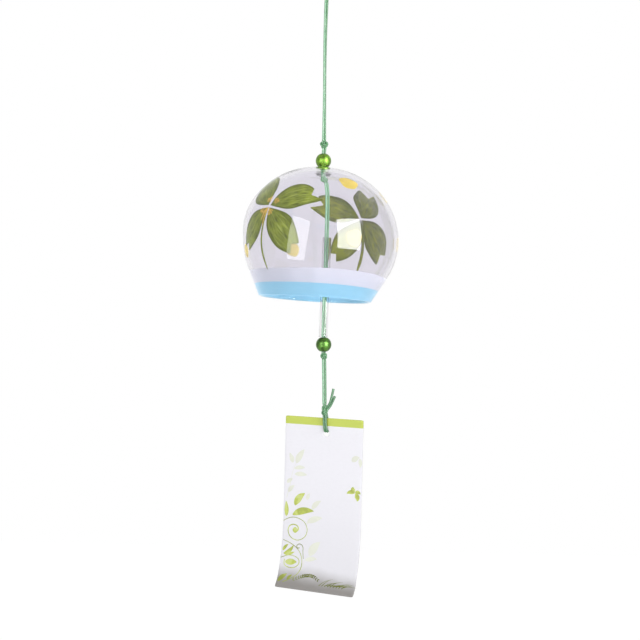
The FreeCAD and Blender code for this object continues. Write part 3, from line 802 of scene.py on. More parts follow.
def strand_tree():
    """The tree that makes a plaited strand along an edge path: threads wind round it both ways."""
    inputs = {"Path": "Geometry", "Width": "Float", "Plait": "Float", "Relief": "Float", "Step": "Float"}
    inputs.update({"Sides": "Int", "Finish": "Material"})
    tree, given = new_tree("Plaited strand", inputs, "Strand")
    path = tree.node("GeometryNodeMeshToCurve", {"Mesh": given["Path"]}).outputs[0]
    even = tree.node("GeometryNodeResampleCurve", {"Curve": path, "Length": given["Step"]}, mode="LENGTH")
    place_on = tree.node("GeometryNodeSplineParameter").outputs
    curve, run = captured(tree, even.outputs[0], "Run", place_on["Length"])
    radius = tree.math("MULTIPLY", given["Width"], 0.5)
    circle = tree.node("GeometryNodeCurvePrimitiveCircle", {"Resolution": given["Sides"], "Radius": radius})
    section, share = captured(tree, circle.outputs[0], "Round", place_on["Factor"])
    tube_inputs = {"Curve": curve, "Profile Curve": section, "Fill Caps": True}
    tube = tree.node("GeometryNodeCurveToMesh", tube_inputs)
    wind = tree.math("MULTIPLY", tree.math("DIVIDE", run, given["Plait"]), math.tau)
    round_turn = tree.math("MULTIPLY", share, 3 * math.tau)
    right = tree.math("SINE", tree.math("ADD", wind, round_turn))
    left = tree.math("SINE", tree.math("SUBTRACT", wind, round_turn))
    raised = tree.math("MULTIPLY_ADD", tree.math("MULTIPLY", right, left), 0.5, 0.5)
    marks = {"Geometry": tube.outputs[0], "Name": "plait", "Value": raised}
    marked = tree.node("GeometryNodeStoreNamedAttribute", marks, data_type="FLOAT", domain="POINT")
    lift = tree.math("MULTIPLY", tree.math("SUBTRACT", raised, 0.7), given["Relief"])
    normal = tree.node("GeometryNodeInputNormal").outputs[0]
    out = tree.node("ShaderNodeVectorMath", {0: normal, "Scale": lift}, operation="SCALE").outputs[0]
    moved = tree.node("GeometryNodeSetPosition", {"Geometry": marked.outputs[0], "Offset": out})
    soft = tree.node("GeometryNodeSetShadeSmooth", {"Geometry": moved.outputs[0]})
    return end_tree(tree, soft.outputs[0], given["Finish"])


def dab_tree():
    """The tree that sets small flat dabs on points. Each point has the way it faces and the way it lies."""
    inputs = {"Points": "Geometry", "Length": "Float", "Slimness": "Float", "Scatter": "Float"}
    inputs.update({"Least": "Float", "Seed": "Int", "Finish": "Material"})
    tree, given = new_tree("Small dabs", inputs, "Dabs")

    def stored(name):
        made = tree.node("GeometryNodeInputNamedAttribute", {"Name": name}, data_type="FLOAT_VECTOR")
        return made.outputs[0]

    def drawn(least):
        inputs = {2: least, 3: 1.0, "Seed": given["Seed"]}
        return tree.node("FunctionNodeRandomValue", inputs, data_type="FLOAT").outputs[1]

    disc = tree.node("GeometryNodeMeshCircle", {"Vertices": 10, "Radius": 0.5}, fill_type="NGON")
    align = "FunctionNodeAlignRotationToVector"
    faced = tree.node(align, {"Vector": stored("facing")}, axis="Z")
    lying = {"Rotation": faced.outputs[0], "Vector": stored("lying")}
    laid = tree.node(align, lying, axis="X", pivot_axis="Z")
    angle = tree.math("MULTIPLY", drawn(-1.0), given["Scatter"])
    spin = tree.node("FunctionNodeAxisAngleToRotation", {"Axis": (0, 0, 1), "Angle": angle})
    turns = {"Rotation": laid.outputs[0], "Rotate By": spin.outputs[0]}
    turned = tree.node("FunctionNodeRotateRotation", turns, rotation_space="LOCAL")
    long = tree.math("MULTIPLY", drawn(given["Least"]), given["Length"])
    slim = tree.math("MULTIPLY", long, given["Slimness"])
    scale = tree.node("ShaderNodeCombineXYZ", {0: long, 1: slim, 2: long})
    placing = {"Points": given["Points"], "Instance": disc.outputs[0]}
    placing.update({"Rotation": turned.outputs[0], "Scale": scale.outputs[0]})
    dabs = tree.node("GeometryNodeInstanceOnPoints", placing)
    return end_tree(tree, dabs.outputs[0], given["Finish"])


def dab_mesh(points, finish, **inputs):
    """Small dabs on points. A point is its place, the way it faces and the way it lies."""
    start = bpy.data.meshes.new("points")
    start.from_pydata([point for point, _, _ in points], [], [])
    for column, name in ((1, "facing"), (2, "lying")):
        attribute = start.attributes.new(name, "FLOAT_VECTOR", "POINT")
        for item, point in zip(attribute.data, points):
            item.vector = point[column]
    group = dab_tree()
    mesh = run_tree(group, start, {**inputs, "Finish": finish.material})
    bpy.data.node_groups.remove(group)
    return mesh


def run_tree(group, start, inputs):
    """The plain mesh that a node tree makes of a starting mesh."""
    holder = new_object("holder", start)
    modifier = holder.modifiers.new("tree", "NODES")
    modifier.node_group = group
    for item in group.interface.items_tree:
        if item.in_out == "INPUT" and item.name in inputs:
            modifier[item.identifier] = inputs[item.name]
    depsgraph = bpy.context.evaluated_depsgraph_get()
    depsgraph.update()
    mesh = bpy.data.meshes.new_from_object(holder.evaluated_get(depsgraph))
    holder.modifiers.remove(modifier)
    bpy.data.objects.remove(holder)
    return mesh


def path_mesh(line):
    mesh = bpy.data.meshes.new("path")
    mesh.from_pydata(line, [(number, number + 1) for number in range(len(line) - 1)], [])
    return mesh


def strand_mesh(cord, lines, width, finish, group):
    """One mesh of every strand that follows these lines."""
    inputs = {"Width": width, "Plait": cord.plait, "Relief": cord.relief, "Step": cord.step}
    inputs.update({"Sides": cord.sides, "Finish": finish.material})
    whole = bmesh.new()
    for line in lines:
        made = run_tree(group, path_mesh(line), inputs)
        whole.from_mesh(made)
        bpy.data.meshes.remove(made)
    mesh = bpy.data.meshes.new("strand")
    whole.to_mesh(mesh)
    whole.free()
    for face in mesh.polygons:
        face.use_smooth = True
    return mesh


def beside_route(cord, side):
    """How far one strand of a pair lies to the side of the pair's route."""
    return Vector((side * (cord.strand + cord.gap) / 2, 0, 0))


def side_points(cord, route, side, top):
    """One strand of a pair, to the side of the route along the route's own turn."""
    points = []
    for across, back, up, angle in route:
        beside = Matrix.Rotation(math.radians(angle), 3, "Z") @ beside_route(cord, side)
        points.append(Vector((across, back, up + top)) + beside)
    return points


def headings(points):
    """The way that a line runs at each of its points."""
    last = len(points) - 1
    return [(points[min(last, n + 1)] - points[max(0, n - 1)]).normalized() for n in range(last + 1)]


def knot_points(cord, side, centre, size, turns, ends):
    """One strand's control points through an overhand knot. size is the knot's width and height, turns
    its lean and which way it faces in degrees, and ends are where the strand comes in and goes out."""
    half_across, half_up = (reach / 2 - cord.knotted for reach in size)
    half_deep = cord.knotted * 0.72
    run = KNOT_RUN + [(-up, across, -front) for up, across, front in reversed(KNOT_RUN)]
    flat_run = [Vector((across * half_across, up * half_up)) for up, across, _ in run]
    lean, facing = (math.radians(angle) for angle in turns)
    turned = Matrix.Rotation(lean, 3, "Y") @ Matrix.Rotation(facing, 3, "Z")
    points = [Vector(ends[0])]
    for (_, _, front), here, step in zip(run, flat_run, headings(flat_run)):
        beside = here + Vector((-step.y, step.x)) * cord.knotted / 2 * side
        points.append(Vector(centre) + turned @ Vector((beside.x, -front * half_deep, beside.y)))
    return points + [Vector(ends[1])]


# The paper


def paper_length(paper):
    return paper.flat + paper.bow_radius * paper.bow + paper.foot_radius * paper.foot


def paper_matrix(paper):
    turned = Matrix.Rotation(-paper.aside, 4, "Z")
    hang = turned @ Vector((paper.offset, 0, 0)) + Vector((0, 0, paper.play))
    return Matrix.Translation(Vector(TAG_BEARING) - hang) @ turned


def paper_point(paper, across, down, lift=0.0):
    """A point of the sheet: across from its middle, down from its top edge, lifted off its face."""
    level = paper.margin
    if down <= paper.flat:
        back, up, angle = 0.0, level - down, 0.0
    elif down <= paper.flat + paper.bow_radius * paper.bow:
        angle = (down - paper.flat) / paper.bow_radius
        back = -paper.bow_radius * (1 - math.cos(angle))
        up = level - paper.flat - paper.bow_radius * math.sin(angle)
    else:
        start = paper.bow
        bow_back = -paper.bow_radius * (1 - math.cos(start))
        bow_up = level - paper.flat - paper.bow_radius * math.sin(start)
        angle = start + (down - paper.flat - paper.bow_radius * start) / paper.foot_radius
        back = bow_back - paper.foot_radius * (math.cos(start) - math.cos(angle))
        up = bow_up - paper.foot_radius * (math.sin(angle) - math.sin(start))
    return Vector((across, back - lift * math.cos(angle), up + lift * math.sin(angle)))


def steps_between(start, end, size):
    """Even steps from start to end, about this size, the last one left out."""
    count = max(1, round(abs(end - start) / size))
    return [start + (end - start) * number / count for number in range(count)]


def paper_sheet(made, paper):
    """The flat grid with rings of faces round the punched hole, bent as the sheet hangs."""
    layer = made.loops.layers.uv.new("sheet")
    half = paper.width / 2
    whole = paper_length(paper)
    patch = paper.hole * 1.9
    cell = patch / 4
    coarse = cell * 1.5
    corner_ease = 0.00018
    near = 1e-6
    left, right = paper.offset - patch, paper.offset + patch
    top, foot = paper.margin - patch, paper.margin + patch
    columns = steps_between(-half, left, coarse)
    first_column = len(columns)
    columns += steps_between(left, right, cell)
    last_column = len(columns)
    columns += steps_between(right, half, coarse) + [half]
    rows = steps_between(0, top, cell)
    first_row = len(rows)
    rows += steps_between(top, foot, cell)
    last_row = len(rows)
    rows += steps_between(foot, whole, coarse) + [whole]
    spots = {}

    def vertex(across, down):
        found = made.verts.new(paper_point(paper, across, down))
        spots[found] = (across, down)
        return found

    grid = []
    for down in rows:
        at_end = down < near or down > whole - near
        line = []
        for across in columns:
            ease = corner_ease if at_end and abs(across) > half - near else 0.0
            line.append(vertex(across - math.copysign(ease, across), down + (ease if down < near else -ease)))
        grid.append(line)
    faces = []
    for row, (upper, lower) in enumerate(zip(grid, grid[1:])):
        for column in range(len(columns) - 1):
            if first_row <= row < last_row and first_column <= column < last_column:
                continue
            corners = (upper[column], upper[column + 1], lower[column + 1], lower[column])
            faces.append(made.faces.new(corners))
    border = [grid[first_row][column] for column in range(first_column, last_column)]
    border += [grid[row][last_column] for row in range(first_row, last_row)]
    border += [grid[last_row][column] for column in range(last_column, first_column, -1)]
    border += [grid[row][first_column] for row in range(last_row, first_row, -1)]
    rings = [border]
    for share in (0.35, 0.68, 0.9, 1.0):
        inner = []
        for corner in border:
            out = Vector((spots[corner][0] - paper.offset, spots[corner][1] - paper.margin))
            spot = out.lerp(out.normalized() * paper.hole, share)
            inner.append(vertex(paper.offset + spot.x, paper.margin + spot.y))
        rings.append(inner)
    closed = [line + line[:1] for line in rings]
    faces += [face for face, _, _ in bridge(made, closed)]
    for face in faces:
        for loop in face.loops:
            loop[layer].uv = spots[loop.vert]


def ink_stroke(made, layer, spot, path, half_width, count):
    """A printed stroke along a smooth path of the sheet. half_width gives its half width at each share."""
    least = 0.00002
    line = [Vector(point) for point in smooth_path(path, count)]
    spots = {}
    rows = []
    for number, (here, step) in enumerate(zip(line, headings(line))):
        half = max(half_width(number / count), least)
        row = []
        for side in (-1, 0, 1):
            place_on = here + Vector((-step.y, step.x)) * half * side
            row.append(made.verts.new(spot(*place_on)))
            spots[row[-1]] = place_on
        rows.append(row)
    for face, _, _ in bridge(made, rows):
        for loop in face.loops:
            loop[layer].uv = spots[loop.vert]


def leaf_shape(half):
    """Half width of a printed leaf along its length."""
    return lambda share: half * math.sin(math.pi * share**0.85) ** 0.8


def taper(start, end):
    """Half width that runs evenly from start to end."""
    return lambda share: start + (end - start) * share


# Operators: one for each piece or group of like pieces


class FURIN_OT_glass_bell(bpy.types.Operator):
    """Blow the glass bell"""

    bl_idname = "furin.glass_bell"
    bl_label = "Glass bell"

    def execute(self, context):
        sizes = context.scene.furin_bell
        shape = BellShape(sizes)
        name = "glass_bell_blown"
        mesh = turned_mesh(name, shape.profile(), sizes.sides, shape.point)
        finish = glass_finish("Lavender glass", sizes.glass, ior=1.48, roughness=0.012, ripple=0.00006)
        bell = new_piece(name, mesh, "bell", finish, "glass_bell")
        bell.visible_shadow = False
        return {"FINISHED"}


class FURIN_OT_painting(bpy.types.Operator):
    """Paint the plants, dots and bands on the inside of the glass"""

    bl_idname = "furin.painting"
    bl_label = "Painting"

    # A place on the wall is degrees from the front and a run up the wall from its widest level. A leaf is
    # its direction from the right anticlockwise, length, width, share of the width at the tips, notch,
    # bend, and how much longer its left tip is. A stem has a width at each end. tone is the plant's share
    # of red, green and blue, and depth how dark its dark patches are.
    PLANTS = {
        "near_plant": {
            "centre": (-43.3, 0.0124),
            "leaves": [
                (29, 0.0244, 0.0150, 0.60, 0.0030, -0.20, -0.0026),
                (-52, 0.0264, 0.0152, 0.48, 0.0024, 0.02, -0.0004),
                (-137, 0.0262, 0.0126, 0.42, 0.0032, 0.10, -0.0004),
                (132, 0.0216, 0.0158, 0.36, 0.0010, -0.16, -0.0012),
            ],
            "stem": [(-43.3, 0.0118), (-47.2, 0.0010), (-48.2, -0.0090), (-45.8, -0.0187)],
            "stem_width": (0.0009, 0.0013),
            "tone": (0.78, 0.84, 0.5),
            "depth": 0.7,
        },
        "far_plant": {
            "centre": (140.9, 0.0164),
            "leaves": [
                (27, 0.0252, 0.0178, 0.60, 0.0044, -0.08, -0.0022),
                (-54, 0.0278, 0.0150, 0.45, 0.0024, 0.05, -0.0004),
                (-130, 0.0282, 0.0178, 0.50, 0.0036, 0.10, 0.0),
                (135, 0.0212, 0.0184, 0.70, 0.0044, 0.0, 0.0020),
            ],
            "stem": [(140.9, 0.0158), (141.4, 0.0060), (141.6, -0.0040), (143.2, -0.0150)],
            "stem_width": (0.0012, 0.0022),
            "tone": (0.96, 0.96, 0.1),
            "depth": 0.72,
        },
    }
    # Golden dabs and strokes beside the near plant's centre: to the right of it and up the wall.
    GOLD_CLUSTERS = [(-0.0006, 0.0036), (0.0038, 0.0026), (-0.0036, -0.0022), (0.0016, -0.0030)]
    GOLD_STROKES = [
        ((0.0, -0.0005), (-0.0014, -0.0040), (-0.0022, -0.0098)),
        ((-0.0008, -0.0008), (-0.0026, -0.0042), (-0.0034, -0.0072)),
    ]
    # A dot is a place on the wall, a radius and how much wider than tall it is.
    DOTS = {
        "cream_dots": [(26.2, -0.0013, 0.0041, 1.0), (-18.9, -0.0088, 0.0034, 1.0), (80, 0.024, 0.0038, 1.1)],
        "amber_dots": [(28.5, 0.0292, 0.0043, 1.1), (-75.6, -0.0084, 0.0034, 1.0), (86, 0.0, 0.0036, 1.0)],
    }
    # Where each layer of paint lies, in thicknesses of paint from the inner wall. A negative lift goes into
    # the glass, so the layers with the lowest lifts cover the others when seen from outside.
    DOT_LIFT = -1.5
    BAND_LIFT = -3
    LEAF_LIFT = -4.5
    LEAF_STEP = -1.5
    STEM_LIFT = -10.5
    GOLD_LIFT = -14

    def execute(self, context):
        sizes = context.scene.furin_bell
        shape = BellShape(sizes)
        for name, plant in self.PLANTS.items():
            self.plant(name, shape, sizes, **plant)
        self.gold(shape, sizes)
        self.dots(shape, sizes)
        self.bands(shape, sizes)
        return {"FINISHED"}

    def plant(self, name, shape, sizes, centre, leaves, stem, stem_width, tone, depth):
        """The leaves of a plant, each over the one before, and its stem over them."""
        middle = wall_places([centre])[0]

        def fill(made, layer):
            for number, leaf in enumerate(leaves):
                lift = (self.LEAF_LIFT + self.LEAF_STEP * number) * sizes.paint
                wall_leaf(made, shape, layer, middle, leaf, lift)
            path = smooth_path(wall_places(stem), 40)
            wall_stroke(made, shape, layer, path, stem_width, self.STEM_LIFT * sizes.paint)

        wall_skin(name, sizes, fill, leaf_finish(name, sizes, tone, depth))

    def gold(self, shape, sizes):
        """Golden marks in loose clusters at the leaf bases, and two golden strokes beside the stem."""
        angle, run = wall_places([self.PLANTS["near_plant"]["centre"]])[0]
        finish = paint_finish("Golden marks", sizes.gold, spread=0.2)
        lift = self.GOLD_LIFT * sizes.paint
        dabs = 13
        turn_between = 2.4
        cluster_radius = 0.0016
        probe = 0.001
        points = []
        for number, (across, along) in enumerate(self.GOLD_CLUSTERS):
            for dab in range(dabs):
                turned = dab * turn_between + number
                out = cluster_radius * math.sqrt((dab + 0.5) / dabs)
                right = across + out * math.cos(turned)
                above = along + out * math.sin(turned)
                spot = shape.beside(angle, run, right, above, lift)
                inside = shape.beside(angle, run, right, above, lift + probe)
                beside = shape.beside(angle, run, right + probe, above, lift)
                points.append((spot, spot - inside, beside - spot))
        mesh = dab_mesh(points, finish, Length=0.0013, Slimness=0.5, Scatter=math.pi, Least=0.5, Seed=7)
        thicken(new_piece("gold_marks", mesh, "bell", finish), sizes.paint)

        def fill(made, layer):
            radius, _ = shape.inner_section(run, 0)
            for stroke in self.GOLD_STROKES:
                places = [(angle + across / radius, run + along) for across, along in stroke]
                wall_stroke(made, shape, layer, smooth_path(places, 20), (0.0009, 0.0005), lift)

        wall_skin("gold_strokes", sizes, fill, finish)

    def dots(self, shape, sizes):
        """Pale and orange dabs between the plants."""
        lift = self.DOT_LIFT * sizes.paint
        for name, colour in (("cream_dots", sizes.cream), ("amber_dots", sizes.amber)):

            def fill(made, layer):
                for angle, run, radius, stretch in self.DOTS[name]:
                    wall_dot(made, shape, layer, (math.radians(angle), run), radius, stretch, lift)

            wall_skin(name, sizes, fill, paint_finish(name, colour, spread=0.2))

    def bands(self, shape, sizes):
        """The white wash and, deeper, the blue band round the mouth, which goes on round the lip."""
        lift = self.BAND_LIFT * sizes.paint
        flare = math.degrees(shape.flare)
        lip = arc_points(*shape.lip_middle, sizes.wall / 2 + 2 * lift, -flare - 75, -180 - flare, 10)[:-1]
        rim = shape.knee - shape.skirt_run
        white = (sizes.white_foot, sizes.white_top, sizes.white_wave, lift)
        blue = (rim, sizes.blue_top, sizes.blue_wave, 2 * lift, lip)
        for name, band, finish in (
            ("white_band", white, paint_finish("White wash", sizes.band, spread=0.03)),
            ("blue_band", blue, paint_finish("Sky blue", sizes.sky, spread=0.05)),
        ):

            def fill(made, layer):
                wall_band(made, shape, layer, *band)

            skin = wall_skin(name, sizes, fill, finish)
            skin.visible_shadow = False


class FURIN_OT_cord(bpy.types.Operator):
    """Lay the doubled cord and tie its five knots"""

    bl_idname = "furin.cord"
    bl_label = "Doubled cord"

    LEAST_FREE = 0.03
    # Label, body, width and height, lean and facing in degrees, and the stretches over and under the knot.
    KNOTS = [
        ("loop_knot", "loop_knot", (0.0052, 0.0052), (25, 20), "loop_foot", "hanging_cord"),
        ("upper_knot", "neck", (0.0044, 0.0043), (-24, -10), "hanging_cord", "neck_cord"),
        ("inner_knot", "inner_knot", (0.0043, 0.0032), (10, 15), "neck_cord", "striker_cord"),
        ("lower_knot", "striker_cord", (0.0039, 0.0035), (-12, 160), "striker_cord", "tag_cord"),
        ("tag_knot", "tag_knot", (0.0038, 0.0056), (8, -25), "tag_cord", "tag_loop"),
    ]

    def execute(self, context):
        cord = context.scene.furin_cord
        self.tree = strand_tree()
        self.finish = cord_finish("Satin cord", cord)
        # Two darker copies of the cord are painted shade: the right strands and the knots take the first,
        # and the tag loop and its tails the darker second
        self.shaded = cord_finish("Satin cord shaded", cord, tone=(0.44, 0.60, 0.45), sheen=0.1)
        self.deep_shaded = cord_finish("Satin cord deep", cord, tone=(0.34, 0.48, 0.36), sheen=0.1)
        self.ends = {}
        self.single(cord, "hanging_loop", "hanger", LOOP_ROUTE, (0, 0, 0), cord.strand, self.finish)
        self.pair(cord, "hanging_cord", "hanging_cord", HANGING_ROUTE, HANGING_TOP)
        self.pair(cord, "neck_cord", "neck", NECK_ROUTE, NECK_TOP)
        self.pair(cord, "striker_cord", "striker_cord", STRIKER_ROUTE, STRIKER_TOP)
        self.pair(cord, "tag_cord", "tag_cord", TAG_CORD_ROUTE, TAG_CORD_TOP)
        self.tag_loop(cord, context.scene.furin_paper)
        # The loose tails take the darker painted-shade copy of the cord
        self.single(cord, "tag_tail_long", "tag_knot", LONG_TAIL_ROUTE, cord.tag_knot, cord.tail, self.deep_shaded)
        self.single(cord, "tag_tail_short", "tag_knot", SHORT_TAIL_ROUTE, cord.tag_knot, cord.tail, self.deep_shaded)
        self.knots(cord)
        bpy.data.node_groups.remove(self.tree)
        return {"FINISHED"}

    def strands(self, cord, name, node, body, lines, width, finish):
        """The strands of one solid, as one piece."""
        mesh = strand_mesh(cord, lines, width, finish, self.tree)
        return new_piece(name, mesh, body, finish, node)

    def strand(self, cord, node, body, points, width, finish, far_end):
        """One strand on the smooth line of its control points."""
        line = nurbs_line(points)
        piece = self.strands(cord, f"{node}_plaited", node, body, [line], width, finish)

    def pair(self, cord, label, body, route, top):
        """Two strands side by side, hung from this height. The right one takes the painted-shade copy of the
        cord.
        """
        for side, name, finish in ((-1, "left", self.finish), (1, "right", self.shaded)):
            points = side_points(cord, route, side, top)
            self.ends[label, side] = (points[0], points[-1])
            self.strand(cord, f"{label}_{name}", body, points, cord.strand, finish, "knot")

    def single(self, cord, node, body, route, start, width, finish):
        """One strand by itself, its route measured from start."""
        points = [Vector(point) + Vector(start) for point in route]
        self.ends[node, 0] = (points[0], points[-1])
        self.strand(cord, node, body, points, width, finish, "object")

    def tag_loop(self, cord, paper):
        """Both strands go down in front of the paper, through its hole and up behind it, in the darker
        painted-shade copy of the cord.
        """
        turned = Matrix.Rotation(-paper.aside, 3, "Z")
        lines = []
        for side in (-1, 1):
            beside = beside_route(cord, side)
            points = [Vector(TAG_BEARING) + turned @ (Vector(spot) + beside) for spot in TAG_LOOP_ROUTE]
            self.ends["tag_loop", side] = (points[0], points[-1])
            lines.append(nurbs_line(points))
        self.strands(cord, "tag_loop_plaited", "tag_loop", "tag_knot", lines, cord.strand, self.deep_shaded)

    def knots(self, cord):
        """Each knot takes in the two ends above it and lets out the two below, in the painted-shade copy of
        the cord.
        """
        for side, foot in zip((-1, 1), self.ends["hanging_loop", 0]):
            self.ends["loop_foot", side] = (foot, foot)
        for label, body, size, turns, above, below in self.KNOTS:
            faces_back = abs(turns[1]) > 90
            lines = []
            for side in (-1, 1):
                ends = (self.ends[above, side][1], self.ends[below, side][0])
                flipped = -side if faces_back else side
                lines.append(nurbs_line(knot_points(cord, flipped, getattr(cord, label), size, turns, ends)))
            self.strands(cord, f"{label}_tied", label, body, lines, cord.knotted, self.shaded)


class FURIN_OT_beads(bpy.types.Operator):
    """Turn the two pearl beads"""

    bl_idname = "furin.beads"
    bl_label = "Beads"

    def bead(self, name, node, slot, beads, centre, finish):
        half = beads.width / 2
        rim = beads.bore + beads.edge
        reach = math.sqrt(half**2 - rim**2)
        limit = math.degrees(math.atan2(reach, rim))
        shoulder = reach - beads.edge
        profile = arc_points(0, 0, half, -limit, limit, 44)
        profile += arc_points(rim, shoulder, beads.edge, 100, 180, 5)
        profile += line_points((beads.bore, shoulder), (beads.bore, -shoulder), 8)
        profile += arc_points(rim, -shoulder, beads.edge, 180, 260, 5)
        mesh = turned_mesh(name, profile, 72, partial(around, Matrix.Translation(Vector(centre))))
        new_piece(name, mesh, node, finish, node)

    def execute(self, context):
        beads = context.scene.furin_beads
        lime = bead_finish("Lime pearl", beads.lime)
        green = bead_finish("Green pearl", beads.green)
        self.bead("lime_bead_turned", "upper_bead", "lime_bead", beads, beads.upper, lime)
        self.bead("green_bead_turned", "lower_bead", "green_bead", beads, beads.lower, green)
        return {"FINISHED"}


class FURIN_OT_clapper(bpy.types.Operator):
    """Draw the glass tube that strikes the bell"""

    bl_idname = "furin.clapper"
    bl_label = "Clapper"

    def execute(self, context):
        beads = context.scene.furin_beads
        outer = beads.tube_width / 2
        inner = outer - beads.tube_wall
        edge = beads.tube_edge
        top = beads.tube_length
        profile = arc_points(outer - edge, edge, edge, -90, 0, 4)
        profile += line_points((outer, edge), (outer, top - edge), 40)
        profile += arc_points(outer - edge, top - edge, edge, 0, 90, 4)
        profile += arc_points(inner + edge, top - edge, edge, 90, 180, 4)
        profile += line_points((inner, top - edge), (inner, edge), 40)
        profile += arc_points(inner + edge, edge, edge, 180, 270, 4)
        lean = Matrix.Translation(Vector(beads.tube_foot)) @ Matrix.Rotation(beads.tube_lean, 4, "Y")
        mesh = turned_mesh("clapper", profile, 64, partial(around, lean))
        finish = glass_finish("Clear glass", beads.tube_glass, ior=1.47, roughness=0.01, ripple=0.00002)
        grey = finish.node("ShaderNodeVolumeAbsorption", {"Color": (0.5, 0.54, 0.53, 1), "Density": 190.0})
        finish.tree.links.new(grey.outputs[0], finish.output.inputs["Volume"])
        new_piece("clapper_tube_drawn", mesh, "clapper", finish, "clapper_tube")
        return {"FINISHED"}


class FURIN_OT_paper(bpy.types.Operator):
    """Cut, punch and print the paper strip"""

    bl_idname = "furin.paper"
    bl_label = "Paper strip"

    # Printed ornaments. Places are across from the sheet's middle and down from its top edge. A leaf is
    # its start, middle and end, and its half width.
    LIME_LEAVES = [
        ((-0.0156, 0.0466), (-0.0142, 0.0422), (-0.0099, 0.0398), 0.0018),
        ((-0.0169, 0.0517), (-0.0112, 0.0478), (-0.0045, 0.0487), 0.0018),
        ((-0.0206, 0.0527), (-0.0202, 0.0490), (-0.0209, 0.0446), 0.0012),
        ((-0.0207, 0.0720), (-0.0170, 0.0710), (-0.0152, 0.0671), 0.0010),
        ((-0.0202, 0.0722), (-0.0175, 0.0722), (-0.0143, 0.0706), 0.0008),
        ((-0.0212, 0.0706), (-0.0205, 0.0684), (-0.0183, 0.0670), 0.0008),
        ((-0.0214, 0.0866), (-0.0202, 0.0838), (-0.0170, 0.0821), 0.0012),
        ((-0.0166, 0.0850), (-0.0158, 0.0834), (-0.0140, 0.0823), 0.0007),
        ((0.0184, 0.0374), (0.0160, 0.0362), (0.0139, 0.0379), 0.0010),
        ((0.0184, 0.0372), (0.0168, 0.0355), (0.0176, 0.0342), 0.0012),
        ((0.0188, 0.0374), (0.0200, 0.0360), (0.0217, 0.0376), 0.0010),
        ((0.0187, 0.0376), (0.0206, 0.0392), (0.0198, 0.0414), 0.0013),
        ((-0.0165, 0.0593), (-0.0149, 0.0594), (-0.0133, 0.0594), 0.0015),
        ((-0.0192, 0.0761), (-0.0158, 0.0758), (-0.0124, 0.0756), 0.0016),
    ]
    PALE_LEAVES = [
        ((-0.0154, 0.0246), (-0.0142, 0.0208), (-0.0109, 0.0171), 0.00169),
        ((-0.0174, 0.0245), (-0.0178, 0.0222), (-0.0195, 0.0194), 0.00130),
        ((-0.0164, 0.0274), (-0.0132, 0.0262), (-0.0103, 0.0266), 0.00104),
        ((-0.0162, 0.0304), (-0.0126, 0.0296), (-0.0090, 0.0303), 0.00117),
        ((-0.0195, 0.0399), (-0.0188, 0.0378), (-0.0162, 0.0362), 0.00117),
        ((-0.0204, 0.0352), (-0.0196, 0.0336), (-0.0172, 0.0328), 0.00104),
        ((-0.0086, 0.0431), (-0.0084, 0.0414), (-0.0072, 0.0396), 0.00104),
        ((-0.0057, 0.0479), (-0.0040, 0.0446), (-0.0006, 0.0430), 0.00130),
        ((-0.0083, 0.0549), (-0.0044, 0.0524), (0.0003, 0.0517), 0.00156),
        ((-0.0054, 0.0719), (-0.0044, 0.0674), (-0.0002, 0.0642), 0.00221),
        ((-0.0076, 0.0743), (-0.0044, 0.0728), (-0.0012, 0.0729), 0.00117),
        ((0.0164, 0.0214), (0.0180, 0.0194), (0.0206, 0.0190), 0.00143),
        ((0.0206, 0.0196), (0.0214, 0.0216), (0.0212, 0.0242), 0.00104),
    ]
    PALE_STEMS = [
        [(-0.0150, 0.0230), (-0.0176, 0.0290), (-0.0184, 0.0350), (-0.0206, 0.0430)],
        [(-0.0030, 0.0690), (-0.0070, 0.0720), (-0.0086, 0.0760), (-0.0094, 0.0800)],
        [(-0.0010, 0.0520), (-0.0060, 0.0540), (-0.0084, 0.0556)],
    ]
    BIG_SCROLL = [
        (-0.0221, 0.0551), (-0.0192, 0.0532), (-0.0149, 0.0526), (-0.0098, 0.0543), (-0.0077, 0.0583),
        (-0.0088, 0.0625), (-0.0131, 0.0649), (-0.0175, 0.0636), (-0.0194, 0.0603), (-0.0187, 0.0574),
        (-0.0160, 0.0563), (-0.0134, 0.0572), (-0.0130, 0.0594), (-0.0146, 0.0603),
    ]
    OVAL_SCROLL = [
        (-0.0220, 0.0742), (-0.0184, 0.0725), (-0.0150, 0.0724), (-0.0115, 0.0737), (-0.0108, 0.0762),
        (-0.0130, 0.0786), (-0.0168, 0.0790), (-0.0202, 0.0775), (-0.0196, 0.0748),
    ]
    LONG_ARC = [
        (-0.0216, 0.0650), (-0.0160, 0.0664), (-0.0108, 0.0704), (-0.0090, 0.0762), (-0.0104, 0.0812),
        (-0.0150, 0.0846), (-0.0186, 0.0866),
    ]
    SMALL_CURL = [
        (-0.0088, 0.0736), (-0.0096, 0.0706), (-0.0096, 0.0672), (-0.0118, 0.0660), (-0.0136, 0.0672),
        (-0.0130, 0.0688), (-0.0117, 0.0682),
    ]
    LEAFLET_PATH = [
        (-0.0128, 0.0846), (-0.0086, 0.0826), (-0.0049, 0.0815), (-0.0011, 0.0818), (0.0024, 0.0842),
    ]
    GRASS_ROOTS = [(0.0050, 0.0856), (0.0110, 0.0851), (0.0168, 0.0850), (0.0205, 0.0842)]
    GRASS_BLADES = 9
    # Steps along a short stroke, a stem and a scroll, and the thickness of the ink.
    SHORT = 28
    MEDIUM = 40
    LONG = 90
    INK = 0.00001

    def execute(self, context):
        paper = context.scene.furin_paper
        mesh = close_mesh("paper", lambda made: paper_sheet(made, paper))
        mesh.transform(paper_matrix(paper))
        finish = paper_finish("Printed card", paper)
        piece = new_piece("paper_printed", mesh, "paper", finish, "paper_tag")
        thicken(piece, paper.thickness)
        prints = (self.lime_print, self.pale_print, self.outline_print, self.leaflets)
        inks = [printed(paper) for printed in prints]
        return {"FINISHED"}

    def spot_on(self, paper, lift):
        """A function that gives the place on the front of the card of a printed point."""
        matrix = paper_matrix(paper)
        out = paper.thickness / 2 + lift
        return lambda across, down: matrix @ paper_point(paper, across, down, out)

